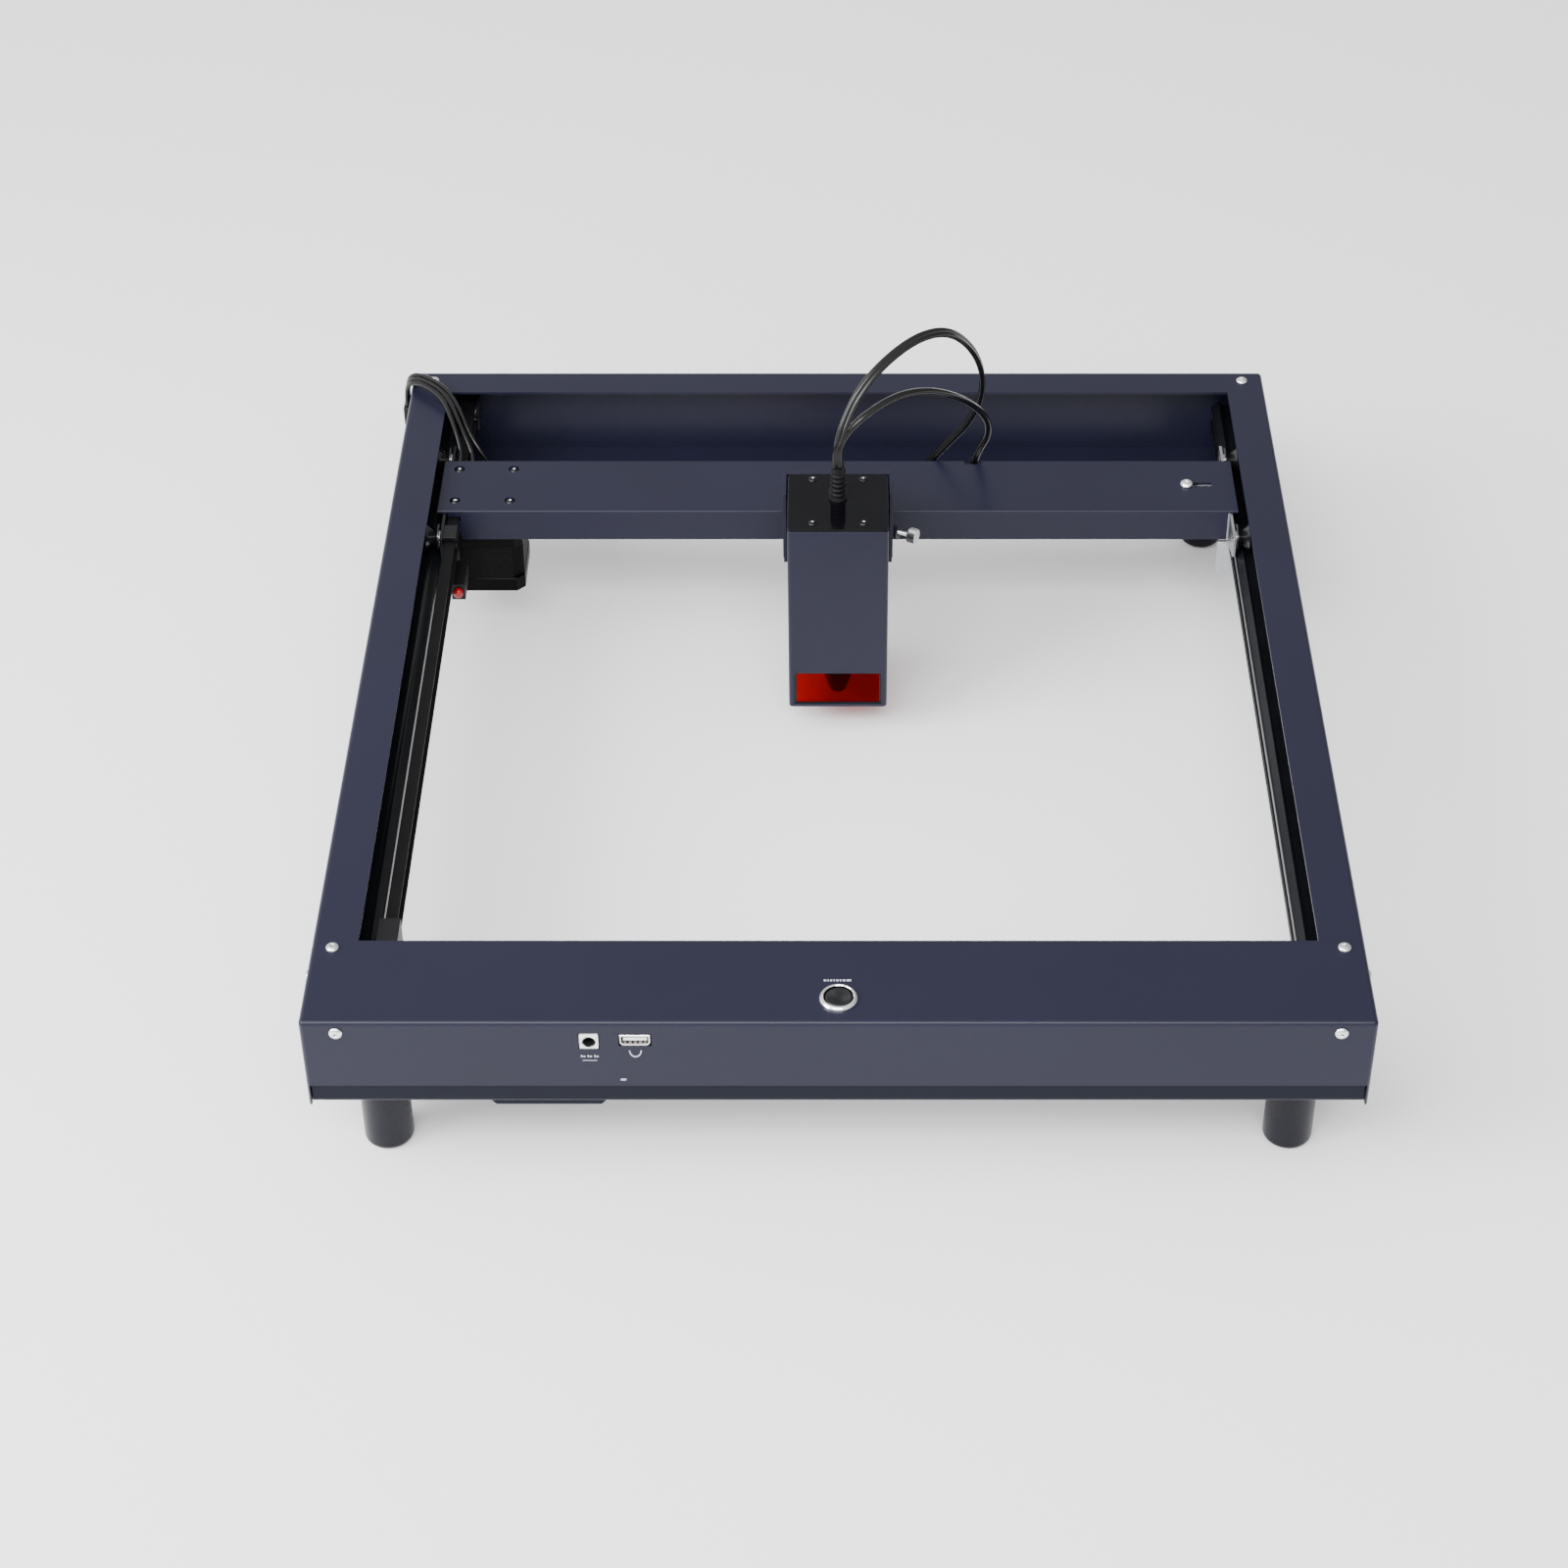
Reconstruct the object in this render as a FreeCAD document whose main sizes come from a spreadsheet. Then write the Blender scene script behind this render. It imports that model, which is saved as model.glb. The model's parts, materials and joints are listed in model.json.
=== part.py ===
import FreeCAD, Part

import math
import os
import re

import Sketcher
from FreeCAD import Placement, Rotation, Vector

# A desktop laser cutter: an open-bottomed sheet-metal frame on four legs, with the controller in
# a box across its front, a gantry that rolls along two side rails, and a laser module that a
# carriage takes along the gantry.
# X runs to the right, Y to the rear and Z up. The origin is on the surface that the legs stand on,
# under the middle of the frame. Lengths are in millimetres.

SIZES = {
    # frame
    "frame_width": 500,
    "frame_depth": 550,
    "sheet_gauge": 1.5,
    "leg_height": 52,
    "wall_height": 54,
    "top_flange": 22,
    "front_box_depth": 56,
    "corner_bend": 2.5,
    "strip_height": 13,
    "bottom_side_flange": 10,
    "bottom_rear_flange": 22,
    "gusset_side": 50,
    "leg_radius": 12,
    "leg_edge_round": 3,
    "leg_across": 219.5,
    "front_leg_along": 243,
    "rear_leg_along": 255,
    # front tray and the cover under it
    "tray_side_gap": 0.3,
    "tray_setback": 1.8,
    "tray_lip_height": 18,
    "tray_top_gap": 0.3,
    "tray_bend": 3,
    "cover_left": -165,
    "cover_right": -109,
    "cover_depth": 3.5,
    "cover_slope": 3,
    "cover_front": -271,
    "cover_rear": -224,
    # side rails
    "rail_inner": 222.2,
    "rail_low": 69,
    "rail_high": 83,
    "bead_centre": 226.2,
    "bead_size": 3,
    "slot_mouth": 6,
    "slot_width": 10,
    "slot_wall": 1.8,
    "slot_floor": 228,
    "cavity_wall": 2,
    # wheels
    "wheel_radius": 8,
    "wheel_width": 8,
    "wheel_rim": 1,
    "wheel_gap": 0.3,
    "wheel_bore": 2.5,
    "axle_radius": 2.45,
    "wheel_front": 128,
    "wheel_rear": 204,
    "wheel_low_left": 138,
    "wheel_low_right": 166,
    "axle_head_radius": 4,
    "axle_head_length": 2.4,
    # gantry
    "beam_half": 225,
    "beam_wall_half": 219.5,
    "beam_front": 145,
    "beam_rear": 195.3,
    "beam_low": 78,
    "beam_top": 97.5,
    "plate_gauge": 1.6,
    "plate_outer": 221.8,
    "plate_front": 120,
    "plate_rear": 212,
    "plate_low": 54.2,
    "plate_top": 95.9,
    "plate_flange_end": 178,
    "ear_low": 84,
    "lip_front": 143.2,
    "lip_inner": 214.5,
    "motor_flange_low": 77,
    # motors, pulleys and belts
    "motor_side": 42.3,
    "motor_length": 40,
    "motor_chamfer": 4.5,
    "motor_x": -200.6,
    "motor_y": 171,
    "motor_screw_spacing": 31,
    "motor_boss": 11,
    "motor_boss_height": 2,
    "small_motor_side": 35.2,
    "small_motor_length": 36,
    "small_motor_left": -209,
    "shaft_radius": 2.45,
    "pulley_bore": 2.5,
    "belt_width": 6,
    "belt_thickness": 1.4,
    "x_pulley_radius": 6.2,
    "x_belt_low": 83,
    "idler_x": 198,
    "y_pulley_radius": 4.9,
    "y_belt_left": -219.4,
    "y_belt_height": 86.4,
    "y_motor_y": -243,
    "y_idler_y": 262,
    "pulley_flange": 1.8,
    "pulley_flange_width": 0.6,
    # belt clamp, end switch and lead clip
    "clamp_front": 122,
    "clamp_depth": 12,
    "jaw_height": 3.1,
    "switch_x": -212.2,
    "switch_z": 67.6,
    "switch_front": 109,
    "switch_depth": 18,
    "switch_half": 3.8,
    "switch_rise": 5.1,
    "switch_tab_front": 120,
    "switch_tab_depth": 12,
    "plunger_radius": 2.8,
    "plunger_length": 6,
    "plunger_seat": 3,
    "clip_left": 42,
    "clip_right": 84,
    "clip_depth": 9,
    "clip_low": 79,
    "clip_high": 90,
    # carriage and its rail
    "x_rail_low": 79,
    "x_rail_high": 88,
    "x_rail_left": -176,
    "x_rail_right": 212,
    "x_rail_depth": 6.5,
    "block_half": 20,
    "block_gap": 0.3,
    "block_rear": 156.5,
    "bracket_low": 66.4,
    "bracket_high": 127,
    "bracket_half": 30.5,
    "bracket_front": 139,
    "bracket_gauge": 2,
    "tongue_half": 17,
    "belt_jaw_half": 15,
    "belt_jaw_rear": 162.9,
    "belt_jaw_low": 82,
    "belt_jaw_high": 90,
    "cheek_front": 119,
    "cheek_low": 84,
    "runner_low": 73.5,
    "runner_high": 93.5,
    "lock_y": 129,
    "lock_z": 96,
    "knob_radius": 4.2,
    "knob_length": 5,
    # laser module
    "head_half": 27.3,
    "head_front": 66,
    "head_rear": 118.3,
    "head_low": 20,
    "head_high": 139.5,
    "head_plate": 1.5,
    "head_wall": 1.6,
    "head_bend": 2.4,
    "head_centre": 93,
    "window_low": 21.6,
    "window_high": 43.5,
    "side_vent_low": 86,
    "side_vent_pitch": 7,
    "side_vent_height": 3,
    "shield_gauge": 2,
    "sink_low": 47,
    "sink_high": 122,
    "slide_half": 28.1,
    "slide_low": 84,
    "slide_high": 120,
    "nozzle_y": 82,
    "nozzle_low": 21.5,
    "nozzle_tip": 4.8,
    "nozzle_root": 9.6,
    "fan_side": 40,
    "fan_low": 124,
    "fan_high": 134,
    "fan_throat": 18.6,
    "fan_hub": 8,
    "spoke_width": 2.4,
    "spoke_gauge": 1.5,
    "plug_top": 161,
    "power_lead_y": 95.5,
    "signal_lead_y": 101,
    # head cables
    "power_lead": 5.5,
    "signal_lead": 4,
    "rear_lead": 2.6,
    # controls and ports
    "button_y": -258.8,
    "button_ring": 9,
    "button_body": 7.9,
    "button_cap": 6.6,
    "jack_x": -115.9,
    "jack_z": 94.3,
    "jack_width": 9.4,
    "jack_height": 9.6,
    "socket_x": -94.5,
    "socket_z": 95,
    "socket_width": 14.9,
    "socket_height": 7.4,
    "board_top": 87.6,
    "board_gauge": 1.6,
    "board_left": -152,
    "board_right": -60,
    "board_front": -271,
    "board_rear": -226,
    "driver_side": 14,
    "driver_height": 7,
    "chip_side": 12,
    "board_post": 2.5,
    "relief_out": 6,
    "relief_low": 76,
    "relief_high": 92,
    "relief_front": 257,
    "relief_rear": 271,
}

X = Vector(1, 0, 0)
Y = Vector(0, 1, 0)
Z = Vector(0, 0, 1)

doc = FreeCAD.newDocument("desktop_laser_cutter")
sheet = doc.addObject("Spreadsheet::Sheet", "p")
for row, (alias, amount) in enumerate(SIZES.items(), start=1):
    sheet.set(f"A{row}", alias.replace("_", " "))
    sheet.set(f"B{row}", str(amount))
    sheet.setAlias(f"B{row}", alias)
doc.recompute()

PARTS = []


# ---------------------------------------------------------------- helpers

def bind(text):
    """The expression with every size's name turned into its cell in the sheet."""
    return re.sub(r"[a-z_]+", lambda word: "p." + word[0] if word[0] in SIZES else word[0], text)


def size(alias):
    """A size as a plain number, for shapes that are made in code."""
    return float(sheet.get(alias))


def part(name, item):
    """Hands an object in as a sub-part under its node's name."""
    item.Label = name
    PARTS.append(item)
    return item


def place(item, x="0", y="0", z="0"):
    for axis, text in zip("xyz", (x, y, z)):
        item.setExpression("Placement.Base." + axis, bind(text))
    return item


def block(x, y, z):
    """A box between two expressions along each axis."""
    item = doc.addObject("Part::Box", "block")
    place(item, x[0], y[0], z[0])
    for side, (low, high) in zip(("Length", "Width", "Height"), (x, y, z)):
        item.setExpression(side, bind(f"({high}) - ({low})"))
    return item


def rod(radius, start, length, axis=Z):
    """A cylinder that starts at a point and runs along an axis."""
    item = doc.addObject("Part::Cylinder", "rod")
    item.Placement = Placement(Vector(), Rotation(Z, axis))
    item.setExpression("Radius", bind(radius))
    item.setExpression("Height", bind(length))
    return place(item, *start)


def joined(*items):
    result = doc.addObject("Part::MultiFuse", "joined")
    result.Shapes = list(items)
    result.Refine = True
    return result


def without(base, *tools):
    """The base with every tool cut away from it."""
    result = doc.addObject("Part::Cut", "trimmed")
    result.Base = base
    result.Tool = tools[0] if len(tools) == 1 else joined(*tools)
    result.Refine = True
    return result


def collected(*items):
    """Separate solids that share one node."""
    result = doc.addObject("Part::Compound", "collected")
    result.Links = list(items)
    return result


def edge_numbers(shape, wanted):
    return [number for number, edge in enumerate(shape.Edges, start=1) if wanted(edge.BoundBox)]


def rounded(base, radius, wanted):
    """The base with the edges that wanted() picks by their boxes rounded."""
    doc.recompute()
    result = doc.addObject("Part::Fillet", "rounded")
    result.Base = base
    numbers = edge_numbers(base.Shape, wanted)
    result.Edges = [(number, size(radius), size(radius)) for number in numbers]
    return result


def new_body(name):
    return doc.addObject("PartDesign::Body", name)


def sketch_on(body, plane, loops, circles=()):
    """A sketch of closed outlines, each corner held at its place by expressions."""
    sketch = body.newObject("Sketcher::SketchObject", "outline")
    origin_plane = [item for item in body.Origin.OriginFeatures if item.Role == plane + "_Plane"][0]
    sketch.AttachmentSupport = (origin_plane, [""])
    sketch.MapMode = "FlatFace"
    for corners in loops:
        first = sketch.GeometryCount
        start = [
            Vector(math.cos(math.tau * step / len(corners)), math.sin(math.tau * step / len(corners)), 0)
            for step in range(len(corners))
        ]
        for step, point in enumerate(start):
            sketch.addGeometry(Part.LineSegment(point, start[(step + 1) % len(start)]), False)
        for step, (corner, point) in enumerate(zip(corners, start)):
            line = first + step
            after = first + (step + 1) % len(corners)
            sketch.addConstraint(Sketcher.Constraint("Coincident", line, 2, after, 1))
            hold(sketch, "DistanceX", line, 1, point.x, corner[0])
            hold(sketch, "DistanceY", line, 1, point.y, corner[1])
    for across, up, radius in circles:
        circle = sketch.addGeometry(Part.Circle(Vector(), Z, 1), False)
        hold(sketch, "DistanceX", circle, 3, 0, across)
        hold(sketch, "DistanceY", circle, 3, 0, up)
        number = sketch.addConstraint(Sketcher.Constraint("Radius", circle, 1))
        sketch.setExpression(f"Constraints[{number}]", bind(radius))
    return sketch


def hold(sketch, kind, line, end, now, text):
    number = sketch.addConstraint(Sketcher.Constraint(kind, -1, 1, line, end, now))
    sketch.setExpression(f"Constraints[{number}]", bind(text))


ACROSS = {"XY": "z", "XZ": "y", "YZ": "x"}


def padded(name, plane, loops, low, high, circles=()):
    """A body whose outline on a plane is padded from low to high across that plane."""
    body = new_body(name)
    sketch = sketch_on(body, plane, loops, circles)
    pad = body.newObject("PartDesign::Pad", "pad")
    pad.Profile = sketch
    pad.SideType = "Symmetric"
    pad.setExpression("Length", bind(f"({high}) - ({low})"))
    middle = bind(f"(({high}) + ({low})) / 2")
    body.setExpression("Placement.Base." + ACROSS[plane], middle)
    return body


def turned(name, profile, x="0", y="0", z="0", along="Z"):
    """A body of revolution; its profile is (radius, height) pairs for Z and (x, radius) pairs for X."""
    body = new_body(name)
    sketch = sketch_on(body, "XZ", [profile])
    revolution = body.newObject("PartDesign::Revolution", "turn")
    revolution.Profile = sketch
    revolution.ReferenceAxis = (sketch, ["V_Axis" if along == "Z" else "H_Axis"])
    revolution.Angle = 360
    return place(body, x, y, z)


def softened(body, radius, wanted):
    """Rounds the edges of a body that wanted() picks by their boxes in the body's own frame."""
    doc.recompute()
    base = body.Tip
    fillet = body.newObject("PartDesign::Fillet", "round")
    fillet.Base = (base, [f"Edge{number}" for number in edge_numbers(base.Shape, wanted)])
    fillet.setExpression("Radius", bind(radius))
    return body


def bevelled(body, size_text, wanted):
    doc.recompute()
    base = body.Tip
    chamfer = body.newObject("PartDesign::Chamfer", "bevel")
    chamfer.Base = (base, [f"Edge{number}" for number in edge_numbers(base.Shape, wanted)])
    chamfer.setExpression("Size", bind(size_text))
    return body


def flat(low, high):
    return abs(high - low) < 1e-4


def upright(box):
    """True for a straight edge along Z."""
    return flat(box.XMin, box.XMax) and flat(box.YMin, box.YMax)


def signed(side, text):
    """The expression on the right side, or mirrored to the left."""
    return text if side > 0 else f"-({text})"


def span(side, inner, outer):
    """The two ends along X of a piece on one side of the machine, lower value first."""
    if side > 0:
        return (inner, outer)
    return (f"-({outer})", f"-({inner})")


# ---------------------------------------------------------------- frame

FLOOR = "leg_height"
INSIDE = "frame_width / 2 - sheet_gauge"
REAR_INSIDE = "frame_depth / 2 - sheet_gauge"
FRAME_TOP = "leg_height + wall_height"
LEDGE = "leg_height + wall_height - sheet_gauge"
BOX_REAR = "front_box_depth - frame_depth / 2"


def frame_shell():
    outside = block(
        ("-frame_width / 2", "frame_width / 2"),
        ("-frame_depth / 2", "frame_depth / 2"),
        (FLOOR, FRAME_TOP),
    )
    top = size("leg_height") + size("wall_height")
    bent = rounded(outside, "corner_bend", lambda box: upright(box) or box.ZMin > top - 1)
    hollow = block(
        ("-(" + INSIDE + ")", INSIDE),
        ("-(" + REAR_INSIDE + ")", REAR_INSIDE),
        (FLOOR + " - 1", LEDGE),
    )
    opening = block(
        ("top_flange - frame_width / 2", "frame_width / 2 - top_flange"),
        (BOX_REAR, "frame_depth / 2 - top_flange"),
        (LEDGE + " - 1", FRAME_TOP + " + 1"),
    )
    strip = block(
        ("-(" + INSIDE + ")", INSIDE),
        ("-frame_depth / 2 - 1", "-(" + REAR_INSIDE + ")"),
        (FLOOR + " - 1", FLOOR + " + strip_height"),
    )
    button_hole = rod("button_body + 0.1", ("0", "button_y", LEDGE + " - 1"), "sheet_gauge + 2")
    jack_hole = port_hole("jack_x", "jack_z", "jack_width", "jack_height")
    socket_hole = port_hole("socket_x", "socket_z", "socket_width", "socket_height")
    walls = without(bent, hollow, opening, strip, button_hole, jack_hole, socket_hole)

    bottom = (FLOOR, FLOOR + " + sheet_gauge")
    rear = block(
        ("-(" + INSIDE + ")", INSIDE),
        (REAR_INSIDE + " - bottom_rear_flange", REAR_INSIDE),
        bottom,
    )
    pieces = [walls, rear]
    for side in (-1, 1):
        flange_x = span(side, INSIDE + " - bottom_side_flange", INSIDE)
        pieces.append(block(flange_x, (BOX_REAR, REAR_INSIDE), bottom))
        pieces.append(
            block(
                span(side, INSIDE + " - gusset_side", INSIDE),
                (REAR_INSIDE + " - gusset_side", REAR_INSIDE),
                bottom,
            )
        )
    return part("frame_shell", joined(*pieces))


def port_hole(centre_x, centre_z, width, height):
    """A cut through the front wall, a little larger than the port that it lets out."""
    margin = "0.2"
    return block(
        (f"{centre_x} - {width} / 2 - {margin}", f"{centre_x} + {width} / 2 + {margin}"),
        ("-frame_depth / 2 - 1", "1 - (" + REAR_INSIDE + ")"),
        (f"{centre_z} - {height} / 2 - {margin}", f"{centre_z} + {height} / 2 + {margin}"),
    )


def front_tray():
    """The bent tray that closes the controller box below and behind."""
    front = "tray_setback - frame_depth / 2"
    top = LEDGE + " - tray_top_gap"
    half = INSIDE + " - tray_side_gap"
    corners = [
        (front, FLOOR),
        (BOX_REAR, FLOOR),
        (BOX_REAR, top),
        (BOX_REAR + " - sheet_gauge", top),
        (BOX_REAR + " - sheet_gauge", FLOOR + " + sheet_gauge"),
        (front + " + sheet_gauge", FLOOR + " + sheet_gauge"),
        (front + " + sheet_gauge", FLOOR + " + tray_lip_height"),
        (front, FLOOR + " + tray_lip_height"),
    ]
    tray = padded("tray", "YZ", [corners], f"-({half})", half)
    low_edge = size("leg_height") + 0.1
    far_front = size("tray_setback") - size("frame_depth") / 2 + 0.1
    softened(tray, "tray_bend", lambda box: box.ZMax < low_edge and box.YMax < far_front)
    belt_slot = block(
        ("y_belt_left - 3", "y_belt_left + belt_width + 3"),
        (BOX_REAR + " - sheet_gauge - 1", BOX_REAR + " + 1"),
        ("y_belt_height - 10", "y_belt_height + 9"),
    )
    return part("front_tray", without(tray, belt_slot))


def service_cover():
    """A shallow pan under the tray, with sloped ends."""
    corners = [
        ("cover_left", FLOOR),
        ("cover_left + cover_slope", FLOOR + " - cover_depth"),
        ("cover_right - cover_slope", FLOOR + " - cover_depth"),
        ("cover_right", FLOOR),
    ]
    return part("service_cover", padded("cover", "XZ", [corners], "cover_front", "cover_rear"))


def leg(name, x, y):
    profile = [("0", "0"), ("leg_radius", "0"), ("leg_radius", "leg_height"), ("0", "leg_height")]
    body = turned(name, profile, x, y)

    def foot_edge(box):
        return box.ZMax < 0.1 and not flat(box.YMin, box.YMax)

    return part(name, softened(body, "leg_edge_round", foot_edge))


def y_rail(name, side):
    """An extruded rail with a V bead above and below and a T slot towards the opening."""
    middle = "(rail_low + rail_high) / 2"
    outline = [
        ("rail_inner", "rail_low"),
        ("bead_centre - bead_size", "rail_low"),
        ("bead_centre", "rail_low - bead_size"),
        ("bead_centre + bead_size", "rail_low"),
        (INSIDE, "rail_low"),
        (INSIDE, "rail_high"),
        ("bead_centre + bead_size", "rail_high"),
        ("bead_centre", "rail_high + bead_size"),
        ("bead_centre - bead_size", "rail_high"),
        ("rail_inner", "rail_high"),
        ("rail_inner", middle + " + slot_mouth / 2"),
        ("rail_inner + slot_wall", middle + " + slot_mouth / 2"),
        ("rail_inner + slot_wall", middle + " + slot_width / 2"),
        ("slot_floor", middle + " + slot_width / 2"),
        ("slot_floor", middle + " - slot_width / 2"),
        ("rail_inner + slot_wall", middle + " - slot_width / 2"),
        ("rail_inner + slot_wall", middle + " - slot_mouth / 2"),
        ("rail_inner", middle + " - slot_mouth / 2"),
    ]
    cavity = [
        ("slot_floor + cavity_wall", "rail_low + cavity_wall"),
        (INSIDE + " - cavity_wall", "rail_low + cavity_wall"),
        (INSIDE + " - cavity_wall", "rail_high - cavity_wall"),
        ("slot_floor + cavity_wall", "rail_high - cavity_wall"),
    ]
    loops = [[(signed(side, across), up) for across, up in loop] for loop in (outline, cavity)]
    return part(name, padded(name, "XZ", loops, BOX_REAR, REAR_INSIDE))


SCREW_HEAD = "3.3"
SCREW_HEAD_HEIGHT = "1.8"
SCREW_SHANK = "1.5"


def screw(point, outward, head=SCREW_HEAD, height=SCREW_HEAD_HEIGHT, depth="5"):
    """A button-head screw on a face: its head outside, its shank through the sheet."""
    inward = outward * -1
    return joined(
        rod(head, point, height, outward),
        rod(SCREW_SHANK, point, depth, inward),
    )


def case_screws():
    screws = []
    for side in (-1, 1):
        screws.append(screw((signed(side, "239.7"), "-224", FRAME_TOP), Z))
        screws.append(screw((signed(side, "237.5"), "265", FRAME_TOP), Z))
        screws.append(screw((signed(side, "233"), "-frame_depth / 2", "99.5"), Y * -1))
        screws.append(screw((signed(side, "233"), "frame_depth / 2", "99.5"), Y))
        for along in ("-237", "-120", "60", "240"):
            height = "99.5" if along == "-237" else "(rail_low + rail_high) / 2"
            screws.append(screw((signed(side, "frame_width / 2"), along, height), X * side))
    screws.append(screw(("-99", "-247", FLOOR), Z * -1))
    return part("case_screws", collected(*screws))


def power_switch_body():
    ring = without(
        rod("button_ring", ("0", "button_y", FRAME_TOP), "2"),
        rod("button_cap + 0.4", ("0", "button_y", FRAME_TOP + " - 1"), "5"),
    )
    barrel = without(
        rod("button_body", ("0", "button_y", FRAME_TOP + " - 22"), "22"),
        rod("button_cap + 0.4", ("0", "button_y", FRAME_TOP + " - 6"), "8"),
    )
    nut = rod("button_body + 2", ("0", "button_y", LEDGE + " - 3"), "3")
    nut_ring = without(nut, rod("button_body - 0.5", ("0", "button_y", LEDGE + " - 4"), "6"))
    return part("power_switch_body", joined(ring, barrel, nut_ring))


def power_button_cap():
    low = "leg_height + wall_height - 3.4"
    cap = turned(
        "cap",
        [("0", "0"), ("button_cap", "0"), ("button_cap", "4.2"), ("button_cap - 0.9", "4.9"), ("0", "4.9")],
        "0",
        "button_y",
        low,
    )
    return part("power_button_cap", cap)


def control_board():
    """The board, its taller components and the posts that hang it from the top sheet."""
    low = "board_top - board_gauge"
    pieces = [block(("board_left", "board_right"), ("board_front", "board_rear"), (low, "board_top"))]
    for left, front, side, height in (
        ("-84", "-250", "driver_side", "driver_height"),
        ("-104", "-250", "driver_side", "driver_height"),
        ("-132", "-248", "chip_side", "board_gauge"),
    ):
        across = (left, f"{left} + {side}")
        along = (front, f"{front} + {side}")
        pieces.append(block(across, along, ("board_top", f"board_top + {height}")))
    for x in ("board_left + 4", "board_right - 4"):
        for y in ("board_rear - 4", "board_front + 5"):
            pieces.append(rod("board_post", (x, y, "board_top"), LEDGE + " - board_top"))
    return part("control_board", joined(*pieces))


def dc_jack():
    """A barrel socket: a square body with a round hole and a centre pin that stands back."""
    front = "-frame_depth / 2 - 0.6"
    body = block(
        ("jack_x - jack_width / 2", "jack_x + jack_width / 2"),
        (front, "-261"),
        ("jack_z - jack_height / 2", "jack_z + jack_height / 2"),
    )
    foot = block(
        ("jack_x - jack_width / 2", "jack_x + jack_width / 2"),
        ("-271", "-261"),
        ("board_top", "jack_z"),
    )
    hole = rod("3.2", ("jack_x", front + " - 1", "jack_z"), "12", Y)
    pin = rod("1", ("jack_x", front + " + 5.2", "jack_z"), "7", Y)
    return part("dc_jack", joined(without(joined(body, foot), hole), pin))


def usb_port():
    """A flat data socket: a metal shell round a tongue that stands back from its mouth."""
    front = "-frame_depth / 2 - 0.4"
    half = "socket_width / 2"
    shell = block(
        ("socket_x - " + half, "socket_x + " + half),
        (front, "-260"),
        ("socket_z - socket_height / 2", "socket_z + socket_height / 2"),
    )
    foot = block(
        ("socket_x - " + half, "socket_x + " + half),
        ("-271", "-260"),
        ("board_top", "socket_z"),
    )
    mouth = block(
        ("socket_x - 6.3", "socket_x + 6.3"),
        (front + " - 1", "-262"),
        ("socket_z - 2.6", "socket_z + 2.6"),
    )
    tongue = block(
        ("socket_x - 5.6", "socket_x + 5.6"),
        (front + " + 5.4", "-262"),
        ("socket_z + 0.2", "socket_z + 2"),
    )
    return part("usb_port", joined(without(joined(shell, foot), mouth), tongue))


# ---------------------------------------------------------------- drive along Y

Y_BELT_MIDDLE = "y_belt_left + belt_width / 2"
BRACKET_LEFT = "y_belt_left - 2.7"
BRACKET_RIGHT = "y_belt_left + belt_width + 2"
EAR = "1.2"


def pulley(name, radius, length, place_at, along):
    """A drum between two flanges, bored for its shaft."""
    rim = f"{radius} + pulley_flange"
    profile = [
        ("0", "pulley_bore"),
        ("0", rim),
        ("pulley_flange_width", rim),
        ("pulley_flange_width", radius),
        (f"{length} - pulley_flange_width", radius),
        (f"{length} - pulley_flange_width", rim),
        (length, rim),
        (length, "pulley_bore"),
    ]
    if along == "Z":
        profile = [(radius_text, height) for height, radius_text in profile]
    return part(name, turned(name, profile, *place_at, along=along))


def stadium(x, y, z, radius):
    """A slab with round ends across X: between two pulley axes along Y at one height."""
    return joined(
        block(x, y, (f"{z} - ({radius})", f"{z} + ({radius})")),
        rod(radius, (x[0], y[0], z), f"({x[1]}) - ({x[0]})", X),
        rod(radius, (x[0], y[1], z), f"({x[1]}) - ({x[0]})", X),
    )


def y_belt():
    inside = "y_pulley_radius + 0.15"
    x = ("y_belt_left", "y_belt_left + belt_width")
    y = ("y_motor_y", "y_idler_y")
    outer = stadium(x, y, "y_belt_height", inside + " + belt_thickness")
    inner = stadium(("y_belt_left - 1", "y_belt_left + belt_width + 1"), y, "y_belt_height", inside)
    return part("y_belt", without(outer, inner))


def y_motor():
    half = "small_motor_side / 2"
    left = "small_motor_left"
    corners = [(f"y_motor_y {a} {half}", f"y_belt_height {b} {half}") for a, b in ("--", "+-", "++", "-+")]
    case = padded("case", "YZ", [corners], left, left + " + small_motor_length")
    bevelled(case, "3", lambda box: flat(box.YMin, box.YMax) and flat(box.ZMin, box.ZMax))
    shaft = rod("shaft_radius", ("y_belt_left - 0.8", "y_motor_y", "y_belt_height"), "14", X)
    foot = block(
        (left, left + " + 3"),
        ("y_motor_y - 14", "y_motor_y + 14"),
        (FLOOR + " + sheet_gauge", "y_belt_height - " + half),
    )
    return part("y_motor", joined(case, shaft, foot))


def belt_ears(y, z):
    return [
        block((BRACKET_LEFT, BRACKET_LEFT + " + " + EAR), y, z),
        block((BRACKET_RIGHT + " - " + EAR, BRACKET_RIGHT), y, z),
    ]


def front_belt_bracket():
    """The guard over the belt where it goes into the controller box."""
    y = (BOX_REAR, BOX_REAR + " + 27")
    z = ("y_belt_height - 10", "y_belt_height + 9.6")
    roof = block((BRACKET_LEFT, BRACKET_RIGHT), y, ("y_belt_height + 8.2", z[1]))
    return part("front_belt_bracket", joined(roof, *belt_ears(y, z)))


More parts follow.
